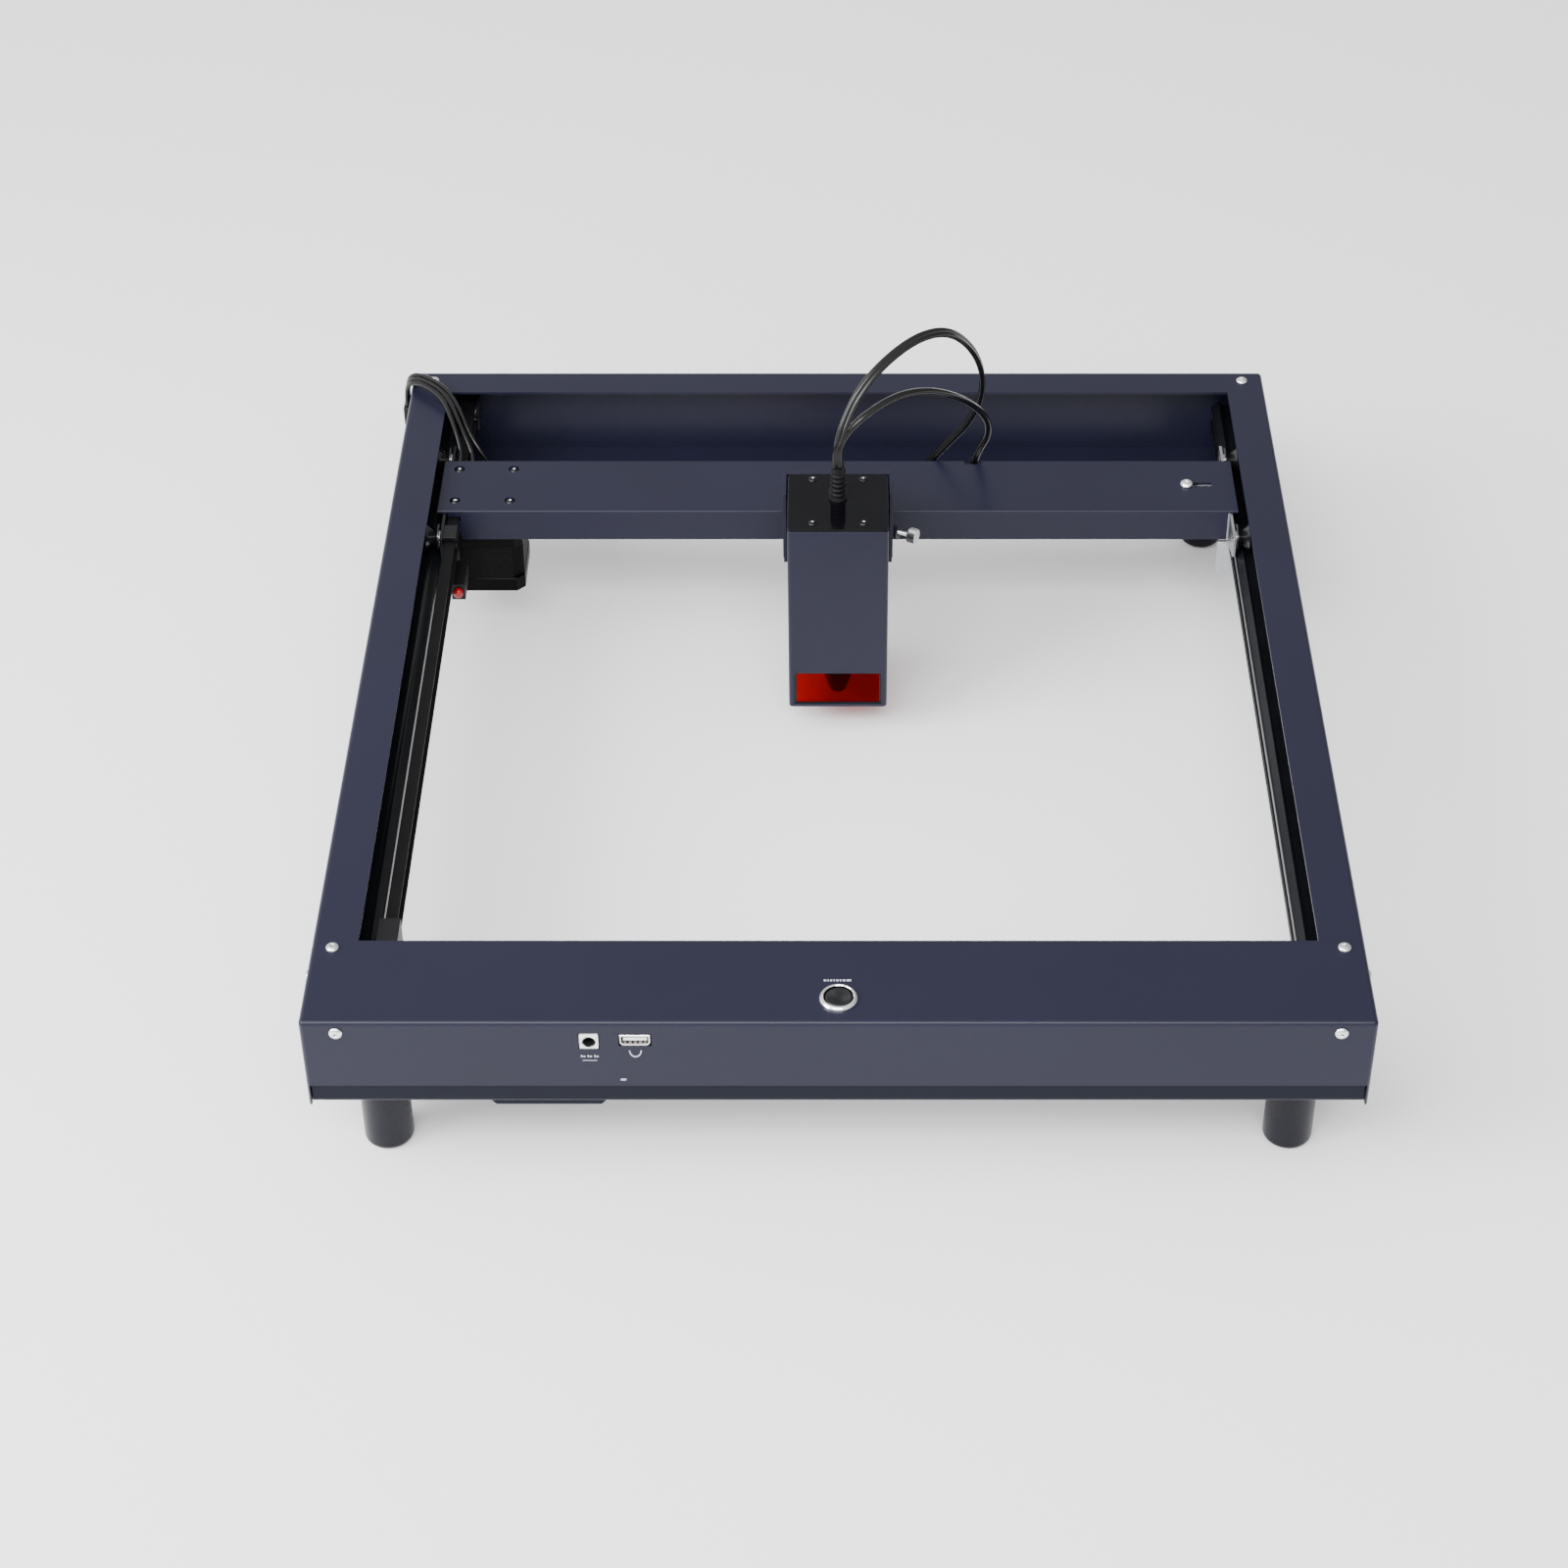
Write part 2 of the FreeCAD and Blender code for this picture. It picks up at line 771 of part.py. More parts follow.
def rear_idler_bracket():
    """A fork on the rear wall with the idler's pin through it."""
    y = ("y_idler_y - 8", REAR_INSIDE)
    z = ("y_belt_height - 8", "y_belt_height + 8")
    web = block((BRACKET_LEFT, BRACKET_RIGHT), (REAR_INSIDE + " - 2", REAR_INSIDE), z)
    pin_length = f"{BRACKET_RIGHT} - ({BRACKET_LEFT})"
    pin = rod("shaft_radius", (BRACKET_LEFT, "y_idler_y", "y_belt_height"), pin_length, X)
    return part("rear_idler_bracket", joined(web, pin, *belt_ears(y, z)))


def y_pulleys():
    width = "belt_width + 1.6"
    for name, along_y in (("y_motor_pulley", "y_motor_y"), ("y_idler_pulley", "y_idler_y")):
        pulley(name, "y_pulley_radius", width, ("y_belt_left - 0.8", along_y, "y_belt_height"), "X")


# ---------------------------------------------------------------- gantry

UPPER_AXLE = "rail_high + bead_size + wheel_radius - bead_size + wheel_gap"
LOWER_AXLE = "rail_low - bead_size - wheel_radius + bead_size - wheel_gap"
WHEELS = (
    ("left_front", -1, "wheel_front", UPPER_AXLE),
    ("left_rear", -1, "wheel_rear", UPPER_AXLE),
    ("left_lower", -1, "wheel_low_left", LOWER_AXLE),
    ("right_front", 1, "wheel_front", UPPER_AXLE),
    ("right_rear", 1, "wheel_rear", UPPER_AXLE),
    ("right_lower", 1, "wheel_low_right", LOWER_AXLE),
)


def wheels():
    half = "wheel_width / 2"
    groove = half + " - wheel_rim"
    for name, side, along, height in WHEELS:
        profile = [
            (f"-({half})", "wheel_bore"),
            (f"-({half})", "wheel_radius"),
            (f"-({groove})", "wheel_radius"),
            ("0", f"wheel_radius - ({groove})"),
            (groove, "wheel_radius"),
            (half, "wheel_radius"),
            (half, "wheel_bore"),
        ]
        node = name + "_wheel"
        part(node, turned(node, profile, signed(side, "bead_centre"), along, height, along="X"))


def wheel_axles():
    """Six axles, each from its carriage plate through its wheel to a head outside."""
    inner = "plate_outer - plate_gauge"
    outer = "bead_centre + wheel_width / 2 + 0.3"
    axles = []
    for _, side, along, height in WHEELS:
        reach = f"{outer} + axle_head_length - ({inner})"
        away = X * side
        shank = rod("axle_radius", (signed(side, inner), along, height), reach, away)
        head = rod("axle_head_radius", (signed(side, outer), along, height), "axle_head_length", away)
        axles.append(joined(shank, head))
    return part("wheel_axles", collected(*axles))


def carriage_plate_side(side, corners):
    """A carriage plate's upright sheet, with its axle holes."""
    face = span(side, "plate_outer - plate_gauge", "plate_outer")
    holes = [(along, height, "wheel_bore") for _, of_side, along, height in WHEELS if of_side == side]
    return padded("plate", "YZ", [corners], *face, circles=holes)


def beam_flange(side, end):
    """The top flange that carries the beam, from the plate to an inner end."""
    y = ("beam_front + 3", "beam_rear - 3.3")
    return block(span(side, end, "plate_outer"), y, ("plate_top - plate_gauge", "plate_top"))


def left_carriage_plate():
    """An upright plate that folds over and down again to make the motor's mount."""
    corners = [
        ("plate_front", "plate_top"),
        ("plate_rear", "plate_top"),
        ("plate_rear", "ear_low"),
        ("beam_rear", "80"),
        ("148", "80"),
        ("148", "plate_low"),
        ("124", "plate_low"),
        ("124", "66"),
        ("plate_front", "ear_low"),
    ]
    upright_plate = carriage_plate_side(-1, corners)
    web = ("-plate_flange_end - plate_gauge", "-plate_flange_end")
    mount_z = ("motor_flange_low", "motor_flange_low + plate_gauge")
    webs = [
        block(web, (low, high), ("motor_flange_low", "plate_top"))
        for low, high in (("150", "160.5"), ("181.5", "192"))
    ]
    mount = block(("-plate_outer + 0.4", "-plate_flange_end"), ("150", "192"), mount_z)
    boss_hole = rod("motor_boss + 0.2", ("motor_x", "motor_y", "motor_flange_low - 1"), "4")
    whole = joined(upright_plate, beam_flange(-1, "plate_flange_end"), mount, *webs)
    screw_holes = motor_screw_holes("motor_flange_low - 1", "21")
    return part("left_carriage_plate", without(whole, boss_hole, *screw_holes))


def motor_screw_points():
    offsets = ("- motor_screw_spacing / 2", "+ motor_screw_spacing / 2")
    return [(f"motor_x {a}", f"motor_y {b}") for a in offsets for b in offsets]


def motor_screw_holes(low, length):
    return [rod("1.7", (x, y, low), length) for x, y in motor_screw_points()]


def right_carriage_plate():
    corners = [
        ("plate_front", "plate_top"),
        ("plate_rear", "plate_top"),
        ("plate_rear", "ear_low"),
        ("180", "plate_low"),
        ("lip_front", "plate_low"),
        ("lip_front", "beam_low"),
        ("plate_front", "ear_low"),
    ]
    lip_y = ("lip_front", "lip_front + plate_gauge")
    lip = block(("lip_inner", "plate_outer"), lip_y, ("plate_low", "beam_low - 0.5"))
    whole = joined(carriage_plate_side(1, corners), beam_flange(1, "186"), lip)
    slot = block(("190", "213"), ("168.2", "173.8"), ("plate_top - 3", "plate_top + 1"))
    return part("right_carriage_plate", without(whole, slot))


def gantry_cover():
    """The beam: a channel that opens downwards, with the carriage's rail inside its front wall."""
    wall = "sheet_gauge"
    corners = [
        ("beam_front", "beam_low"),
        (f"beam_front + {wall}", "beam_low"),
        (f"beam_front + {wall}", f"beam_top - {wall}"),
        (f"beam_rear - {wall}", f"beam_top - {wall}"),
        (f"beam_rear - {wall}", "beam_low"),
        ("beam_rear", "beam_low"),
        ("beam_rear", "beam_top"),
        ("beam_front", "beam_top"),
    ]
    channel = padded("channel", "YZ", [corners], "-beam_half", "beam_half")
    top = size("beam_top") - 0.1
    front = size("beam_front") + 0.1
    rear = size("beam_rear") - 0.1

    def outer_bend(box):
        return box.ZMin > top and flat(box.YMin, box.YMax) and (box.YMax < front or box.YMin > rear)

    softened(channel, "1.2", outer_bend)
    through = ("beam_front - 1", "beam_rear + 1")
    tools = [
        block(span(side, "beam_wall_half", "beam_half + 1"), through, ("beam_low - 1", "plate_top"))
        for side in (-1, 1)
    ]
    run_gap = "0.8"
    lower_run = f"y_belt_height - y_pulley_radius + {run_gap}"
    upper_run = f"y_belt_height + y_pulley_radius - {run_gap}"
    for low, high in (
        ("beam_low - 1", lower_run),
        (upper_run, f"{upper_run} + belt_thickness + 2 * {run_gap}"),
    ):
        tools.append(block(("-beam_half - 1", "y_belt_left + belt_width + 1"), through, (low, high)))
    tools += [rod("3", (x, y, "plate_top - 1"), "4") for x, y in motor_screw_points()]
    tools.append(block(("idler_x", "212"), ("169", "173"), ("plate_top - 1", "beam_top + 1")))
    tools.append(rod("2.6", ("idler_x", "motor_y", "plate_top - 1"), "4"))
    lead_notch = block(("72.5", "82"), ("beam_rear - 5", "beam_rear + 1"), ("plate_top - 1", "beam_top + 1"))
    tools.append(lead_notch)
    return part("gantry_cover", without(channel, *tools))


def x_motor():
    half = "motor_side / 2"
    corners = [(f"motor_x {a} {half}", f"motor_y {b} {half}") for a, b in ("--", "+-", "++", "-+")]
    case = padded("case", "XY", [corners], "motor_flange_low - motor_length", "motor_flange_low")
    bevelled(case, "motor_chamfer", lambda box: upright(box))
    boss = rod("motor_boss", ("motor_x", "motor_y", "motor_flange_low"), "motor_boss_height")
    shaft = rod("shaft_radius", ("motor_x", "motor_y", "motor_flange_low"), "15")
    socket = block(
        ("motor_x - 8", "motor_x + 8"),
        ("motor_y + " + half, "motor_y + " + half + " + 3.5"),
        ("41", "49"),
    )
    return part("x_motor", joined(case, boss, shaft, socket))


def gantry_screws():
    """Four screws that hold the motor to its mount and four that hold the beam to the plate."""
    screws = []
    for x, y in motor_screw_points():
        screws.append(screw((x, y, "motor_flange_low + plate_gauge"), Z, "2.7", "1", "6"))
        screws.append(screw((x, y, "plate_top"), Z, "2.7", "1.9", "2.2"))
    return part("gantry_screws", collected(*screws))


def x_pulleys():
    for name, along_x in (("x_motor_pulley", "motor_x"), ("x_idler_pulley", "idler_x")):
        pulley(name, "x_pulley_radius", "belt_width + 2", (along_x, "motor_y", "x_belt_low - 1"), "Z")


def level_stadium(radius, low, high):
    """A slab with round ends between the two pulley axes of the carriage's belt."""
    z = (low, high)
    return joined(
        block(("motor_x", "idler_x"), (f"motor_y - ({radius})", f"motor_y + ({radius})"), z),
        rod(radius, ("motor_x", "motor_y", low), f"({high}) - ({low})"),
        rod(radius, ("idler_x", "motor_y", low), f"({high}) - ({low})"),
    )


def x_belt():
    inside = "x_pulley_radius + 0.15"
    outer = level_stadium(inside + " + belt_thickness", "x_belt_low", "x_belt_low + belt_width")
    inner = level_stadium(inside, "x_belt_low - 1", "x_belt_low + belt_width + 1")
    return part("x_belt", without(outer, inner))


def x_tension_screw():
    """The idler's axle, whose head clamps it in the slot on top of the beam."""
    head = rod("3.9", ("idler_x", "motor_y", "beam_top"), "2.6")
    drive = padded_hexagon("idler_x", "motor_y", "1.5", "beam_top + 1.2", "beam_top + 4")
    shank = rod("shaft_radius", ("idler_x", "motor_y", "x_belt_low - 3"), "beam_top - x_belt_low + 3")
    return part("x_tension_screw", without(joined(head, shank), drive))


def padded_hexagon(x, y, radius, low, high):
    corners = [
        (f"{x} + ({radius}) * cos({60 * step})", f"{y} + ({radius}) * sin({60 * step})") for step in range(6)
    ]
    return padded("hexagon", "XY", [corners], low, high)


def x_rail():
    y = ("beam_front + sheet_gauge", "beam_front + sheet_gauge + x_rail_depth")
    bar = block(("x_rail_left", "x_rail_right"), y, ("x_rail_low", "x_rail_high"))
    grooves = [
        block(
            ("x_rail_left - 1", "x_rail_right + 1"),
            ("beam_front + sheet_gauge + 2.4", "beam_front + sheet_gauge + 4.4"),
            (low, high),
        )
        for low, high in (("x_rail_low - 1", "x_rail_low + 0.8"), ("x_rail_high - 0.8", "x_rail_high + 1"))
    ]
    return part("x_rail", without(bar, *grooves))


def y_belt_clamp():
    """A jaw on each side of the belt's upper run, fixed to the left carriage plate."""
    x = ("-plate_outer + plate_gauge", "y_belt_left + belt_width + 0.8")
    y = ("clamp_front", "clamp_front + clamp_depth")
    run_low = "y_belt_height + y_pulley_radius + 0.15"
    lower = block(x, y, (run_low + " - 0.3 - jaw_height", run_low + " - 0.3"))
    upper = block(x, y, (run_low + " + belt_thickness + 0.3", "plate_top - 0.2"))
    return part("y_belt_clamp", collected(lower, upper))


def y_switch_body():
    """The end switch: a small box with a tab that holds it to the inside of the left plate."""
    z = ("switch_z - switch_rise", "switch_z + switch_rise")
    right = "switch_x + switch_half"
    box = block(("switch_x - switch_half", right), ("switch_front", "switch_front + switch_depth"), z)
    tab_y = ("switch_tab_front", "switch_tab_front + switch_tab_depth")
    tab = block(("plate_gauge - plate_outer", right), tab_y, z)
    bore = rod("plunger_radius + 0.1", ("switch_x", "switch_front - 1", "switch_z"), "plunger_seat + 3", Y)
    return part("y_switch_body", without(joined(box, tab), bore))


def y_switch_plunger():
    start = ("switch_x", "switch_front + plunger_seat - plunger_length", "switch_z")
    return part("y_switch_plunger", rod("plunger_radius", start, "plunger_length", Y))


def cable_clip():
    """A clip on the beam's rear wall that holds both leads from the laser module."""
    y = ("beam_rear", "beam_rear + clip_depth")
    clip = block(("clip_left", "clip_right"), y, ("clip_low", "clip_high"))
    return part("cable_clip", clip)


# ---------------------------------------------------------------- carriage

def carriage_block():
    """The rail's runner, with a channel that clears the rail all round."""
    y_front = "beam_front + sheet_gauge + 2"
    runner = block(("-block_half", "block_half"), (y_front, "block_rear"), ("runner_low", "runner_high"))
    channel = block(
        ("-block_half - 1", "block_half + 1"),
        (y_front + " - 1", "beam_front + sheet_gauge + x_rail_depth + block_gap"),
        ("x_rail_low - block_gap", "x_rail_high + block_gap"),
    )
    return part("carriage_block", without(runner, channel))


def carriage_plate():
    """A bracket that passes under the beam's front wall and holds the laser module by two cheeks."""
    gauge = "bracket_gauge"
    back_rear = f"block_rear + {gauge}"
    back = block(("-block_half", "block_half"), ("block_rear", back_rear), ("bracket_low", "runner_high"))
    floor_z = ("bracket_low", "bracket_low + plate_gauge")
    bottom = block(("-tongue_half", "tongue_half"), ("bracket_front", back_rear), floor_z)
    front = block(
        ("-bracket_half", "bracket_half"),
        ("bracket_front", "bracket_front + 3"),
        ("bracket_low", "bracket_high"),
    )
    jaw_z = ("belt_jaw_low", "belt_jaw_high")
    jaw = block(("-belt_jaw_half", "belt_jaw_half"), (back_rear, "belt_jaw_rear"), jaw_z)
    cheek_y = ("cheek_front", "bracket_front + 3")
    cheeks = [
        block(span(side, f"bracket_half - {gauge}", "bracket_half"), cheek_y, ("cheek_low", "bracket_high"))
        for side in (-1, 1)
    ]
    start, axis = lock_screw_axis()
    between = block((f"{gauge} - bracket_half", f"bracket_half - {gauge}"), ("110", "145"), ("80", "112"))
    boss = without(rod("4.5", start, "5", axis), between)
    bore = rod("2.08", (f"{start[0]} - 3 * {axis.x}", f"{start[1]} - 3 * ({axis.y})", start[2]), "12", axis)
    return part("carriage_plate", without(joined(back, bottom, front, jaw, boss, *cheeks), bore))


def lock_screw_axis():
    """Where the lock screw's boss stands on the right cheek, and which way the screw points."""
    lean = math.radians(25)
    return ("bracket_half - 1", "lock_y", "lock_z"), Vector(math.cos(lean), -math.sin(lean), 0)


def along_lock_screw(distance):
    start, axis = lock_screw_axis()
    return (f"{start[0]} + {distance} * {axis.x}", f"{start[1]} + {distance} * ({axis.y})", start[2])


def lock_screw():
    axis = lock_screw_axis()[1]
    shank = rod("2", along_lock_screw(2), "11", axis)
    knob = rod("knob_radius", along_lock_screw(11), "knob_length", axis)
    return part("lock_screw", joined(shank, knob))


# ---------------------------------------------------------------- laser module

SIDES = ("-head_half", "head_half")


def laser_housing():
    """The module's three-sided sheath, with a window frame round its foot."""
    outside = block(SIDES, ("head_front", "head_rear"), ("head_low", "head_high"))
    front = size("head_front") + 1
    bent = rounded(outside, "head_bend", lambda box: upright(box) and box.YMax < front)
    inside = block(
        ("head_wall - head_half", "head_half - head_wall"),
        ("head_front + head_wall", "head_rear + 1"),
        ("head_low - 1", "head_high + 1"),
    )
    window = ("window_low", "window_high")
    across = ("-head_half - 1", "head_half + 1")
    tools = [inside]
    tools.append(block(("3.2 - head_half", "head_half - 3.2"), ("head_front - 1", "head_front + 3"), window))
    tools.append(block(across, ("head_front + 4", "head_rear - 4"), window))
    for step in range(6):
        low = f"side_vent_low + {step} * side_vent_pitch"
        tools.append(block(across, ("head_front + 10", "head_rear - 12"), (low, low + " + side_vent_height")))
    return part("laser_housing", without(bent, *tools))


def laser_shield():
    """A tinted screen on three sides of the beam's last stretch."""
    out = "head_half - head_wall"
    low_high = ("head_low + 0.6", "window_high + 1.5")
    outside = block((f"-({out})", out), ("head_front + head_wall", "head_rear - 2"), low_high)
    inside = block(
        (f"shield_gauge - ({out})", out + " - shield_gauge"),
        ("head_front + head_wall + shield_gauge", "head_rear"),
        ("head_low - 1", "window_high + 3"),
    )
    return part("laser_shield", without(outside, inside))


def laser_heatsink():
    """A finned block behind the diode, with the slide that runs in the carriage's cheeks."""
    half = "head_half - head_wall"
    core = block((f"-({half})", half), ("head_front + 6", "head_rear"), ("sink_low", "sink_high"))
    fin_gap_y = ("head_front + 5", "head_front + 22")
    fin_gaps = [
        block((f"5 * {step} - 20", f"5 * {step} - 17.5"), fin_gap_y, ("sink_low + 9", "sink_high + 1"))
        for step in range(8)
    ]
    slide_y = ("cheek_front + 0.4", "bracket_front - 0.4")
    slide = block(("-slide_half", "slide_half"), slide_y, ("slide_low", "slide_high"))
    neck = block(("-16", "16"), ("head_rear - 1", "cheek_front + 1"), ("slide_low", "slide_high"))
    return part("laser_heatsink", joined(without(core, *fin_gaps), neck, slide))


def laser_nozzle():
    height = "(sink_low - nozzle_low)"
    profile = [
        ("2", "0"),
        ("nozzle_tip - 0.6", "0"),
        ("nozzle_tip", "1"),
        ("nozzle_root", "16"),
        ("nozzle_root", height),
        ("4", height),
        ("4", "8"),
        ("2", "5"),
    ]
    return part("laser_nozzle", turned("nozzle", profile, "0", "nozzle_y", "nozzle_low"))


TOP_SCREWS = [(x, y) for x in ("-13.8", "13.8") for y in ("72.2", "113.2")]


def laser_top_plate():
    plate = block(
        ("0.4 - head_half", "head_half - 0.4"),
        ("head_front + 0.4", "head_rear"),
        ("head_high", "head_high + head_plate"),
    )
    holes = [rod("1.5", (x, y, "head_high - 1"), "4") for x, y in TOP_SCREWS]
    return part("laser_top_plate", without(rounded(plate, "head_bend", upright), *holes))


def laser_top_screws():
    screws = [screw((x, y, "head_high + head_plate"), Z, "2.4", "1", "6") for x, y in TOP_SCREWS]
    return part("laser_top_screws", collected(*screws))


def fan_frame():
    """A square fan laid flat over the fins."""
    half = "fan_side / 2"
    case_y = ("head_centre - " + half, "head_centre + " + half)
    case = block((f"-({half})", half), case_y, ("fan_low", "fan_high"))
    corners = rounded(case, "corner_bend", lambda box: upright(box))
    throat = rod("fan_throat", ("0", "head_centre", "fan_low - 1"), "fan_high - fan_low + 2")
    hub = rod("fan_hub", ("0", "head_centre", "fan_low"), "spoke_gauge")
    reach = "fan_side / 2 - 1"
    spoke = "spoke_width / 2"
    low = ("fan_low", "fan_low + spoke_gauge")
    spokes = [
        block((f"-({reach})", reach), ("head_centre - " + spoke, "head_centre + " + spoke), low),
        block((f"-({spoke})", spoke), (f"head_centre - ({reach})", f"head_centre + ({reach})"), low),
    ]
    posts = [
        rod("2.4", (x, y, "fan_high"), "head_high - fan_high")
        for x in ("-17", "17") for y in ("head_centre - 17", "head_centre + 17")
    ]
    return part("fan_frame", joined(without(corners, throat), hub, *spokes, *posts))


def fan_rotor():
    """A hub with seven pitched blades."""
    hub = rod("fan_hub", ("0", "head_centre", "fan_low + 2"), "7")
    blades = []
    for step in range(7):
        blade = doc.addObject("Part::Box", "blade")
        blade.Length = 10.5
        blade.Width = 1.2
        blade.Height = 6
        pitch = Rotation(X, 38)
        turn = Rotation(Z, 360 / 7 * step)
        middle = Vector(0, size("head_centre"), 129.5)
        blade.Placement = Placement(middle, turn * pitch) * Placement(Vector(7, -0.6, -3), Rotation())
        blades.append(blade)
    return part("fan_rotor", joined(hub, *blades))


def oval(radius, low, high):
    """An upright oval column round the two leads that leave the module."""
    front, rear = "power_lead_y", "signal_lead_y"
    height = f"({high}) - ({low})"
    return joined(
        rod(radius, ("0", front, low), height),
        rod(radius, ("0", rear, low), height),
        block((f"-({radius})", radius), (front, rear), (low, high)),
    )


def cable_plug():
    """The strain relief on top of the module, with ribs round it."""
    base = "head_high + head_plate"
    ribs = [oval("4.1", f"{base} + {3 + 3 * step}", f"{base} + {4.4 + 3 * step}") for step in range(5)]
    foot = oval("4.9", base, base + " + 1.6")
    return part("cable_plug", joined(oval("3.5", base, "plug_top"), foot, *ribs))


# ---------------------------------------------------------------- leads

# Each route is a list of points, in millimetres, from the lead's exit to its far end.
HEAD_POWER_ROUTE = (
    (-0.5, 95.5, 161),
    (-0.5, 95.5, 173),
    (3.5, 99, 187),
    (12, 108.5, 203),
    (27, 121.5, 214),
    (44, 135.5, 219),
    (60, 149.5, 213.5),
    (73, 163, 195),
    (80.5, 175, 171),
    (80.5, 184.5, 146),
    (73, 192, 124),
    (61, 198, 106),
    (50, 201.5, 89),
)
HEAD_SIGNAL_ROUTE = (
    (0.3, 101, 161),
    (0.3, 101, 170.5),
    (6, 104, 180),
    (17, 110.5, 187),
    (31, 122, 189.5),
    (47, 135.5, 184.5),
    (63, 150, 172),
    (76, 165, 155),
    (84.5, 179, 136),
    (85.5, 190, 118),
    (80.5, 197.5, 103),
    (77.5, 201, 89),
)
REAR_ROUTES = (
    (
        (-253.6, 268, 92),
        (-253.6, 268, 101),
        (-251.3, 266.4, 108.8),
        (-244.6, 262.4, 112),
        (-236, 256.2, 112),
        (-228.5, 249, 110.6),
        (-222.8, 240.5, 108),
        (-218.3, 231, 104.8),
        (-214.5, 221.8, 100.6),
        (-209, 214.5, 94.5),
        (-203, 210.5, 85.5),
        (-198.5, 210.5, 75),
        (-196, 211.5, 64.5),
        (-195.5, 211.5, 53.5),
        (-195.5, 204.2, 45),
        (-195.5, 195.65, 45),
    ),
    (
        (-253.6, 264, 92),
        (-253.6, 264, 101),
        (-251.3, 262.3, 108.8),
        (-244.4, 258, 112),
        (-236, 251.5, 112),
        (-229.2, 244, 110.9),
        (-224.2, 235.5, 108.6),
        (-220.4, 226.5, 105.6),
        (-216.6, 217, 102),
        (-212.5, 209, 97.8),
        (-210, 203.5, 93.5),
        (-210, 195.3, 93.5),
    ),
    (
        (-253.6, 260, 92),
        (-253.6, 260, 101),
        (-251.3, 258.2, 108.8),
        (-244.6, 253.6, 112),
        (-237, 247, 112),
        (-231, 239.8, 111.2),
        (-226.8, 231.5, 110),
        (-223.6, 223.5, 107.5),
        (-220.8, 216, 104),
        (-218.3, 209, 99.5),
        (-216.8, 203.5, 95.4),
        (-216.8, 195.3, 95.4),
    ),
)


def run_arc(before, corner, after):
    """The arc that rounds a route's corner: its two tangent points, its middle point and its radius."""
    to_start = before - corner
    to_end = after - corner
    turn = math.pi - to_start.getAngle(to_end)
    reach = 0.45 * min(to_start.Length, to_end.Length)
    radius = reach / math.tan(turn / 2)
    to_start.normalize()
    to_end.normalize()
    towards = to_start + to_end
    towards.normalize()
    middle = corner + towards * (radius / math.cos(turn / 2) - radius)
    return corner + to_start * reach, middle, corner + to_end * reach, radius


def lead(name, route, diameter):
    """A round lead: straight runs joined by tangent arcs, swept with a round section."""
    points = [Vector(*point) for point in route]
    edges = []
    radii = []
    here = points[0]
    for before, corner, after in zip(points, points[1:], points[2:]):
        start, middle, end, radius = run_arc(before, corner, after)
        edges.append(Part.LineSegment(here, start).toShape())
        edges.append(Part.Arc(start, middle, end).toShape())
        radii.append(radius)
        here = end
    edges.append(Part.LineSegment(here, points[-1]).toShape())
    path = Part.Wire(edges)
    section = Part.Wire([Part.makeCircle(diameter / 2, points[0], points[1] - points[0])])
    tube = path.makePipeShell([section], True, False)
    item = doc.addObject("Part::Feature", name)
    item.Shape = tube
    item.Placement = Placement()
    expected = math.pi * diameter**2 / 4 * path.Length
    print(
        f"{name}: length {path.Length:.0f}, tightest radius {min(radii):.1f},",
        f"volume over section times length {tube.Volume / expected:.4f}",
    )
    return part(name, item)


def cable_grommet():
    """The strain relief on the left wall that the rear leads come up out of."""
    wall = "-frame_width / 2"
    out = wall + " - relief_out"
    corners = [(wall, "relief_low"), (out, "relief_low + 4"), (out, "relief_high"), (wall, "relief_high")]
    body = padded("relief", "XZ", [corners], "relief_front", "relief_rear")
    return part("cable_grommet", body)


# ---------------------------------------------------------------- assembly

frame_shell()
front_tray()
service_cover()
for depth_name, depth_side in (("front", "-"), ("rear", "")):
    for width_name, width_side in (("left", "-"), ("right", "")):
        along = f"{depth_side}{depth_name}_leg_along"
        leg(f"leg_{depth_name}_{width_name}", width_side + "leg_across", along)
y_rail("y_rail_left", -1)
y_rail("y_rail_right", 1)
case_screws()
power_switch_body()
power_button_cap()
control_board()
dc_jack()
usb_port()
cable_grommet()

y_motor()
y_belt()
y_pulleys()
front_belt_bracket()
rear_idler_bracket()

gantry_cover()
left_carriage_plate()
right_carriage_plate()
wheel_axles()
wheels()
x_motor()
gantry_screws()
x_pulleys()
x_belt()
x_tension_screw()
x_rail()
y_belt_clamp()
y_switch_body()
y_switch_plunger()
cable_clip()

carriage_block()
carriage_plate()
lock_screw()

laser_housing()
laser_shield()
laser_heatsink()
laser_nozzle()
laser_top_plate()
laser_top_screws()
fan_frame()
fan_rotor()
cable_plug()

lead("head_power_cable", HEAD_POWER_ROUTE, size("power_lead"))
lead("head_signal_cable", HEAD_SIGNAL_ROUTE, size("signal_lead"))
for number, route in zip(("one", "two", "three"), REAR_ROUTES):
    lead("rear_cable_" + number, route, size("rear_lead"))

doc.recompute()

faults = [item.Label for item in doc.Objects if {"Invalid", "Error"} & set(item.State)]
for item in PARTS:
    if item.Shape.isNull() or not item.Shape.isValid() or not item.Shape.Solids:
        faults.append(item.Label)
if faults:
    raise RuntimeError("these objects failed: " + ", ".join(sorted(set(faults))))

os.makedirs("parts", exist_ok=True)
for item in PARTS:
    item.Shape.exportStep(f"parts/{item.Label}.step")
print(len(PARTS), "sub-parts written")
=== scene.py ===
import json
import math

import bmesh
import bpy
from mathutils import Matrix, Vector

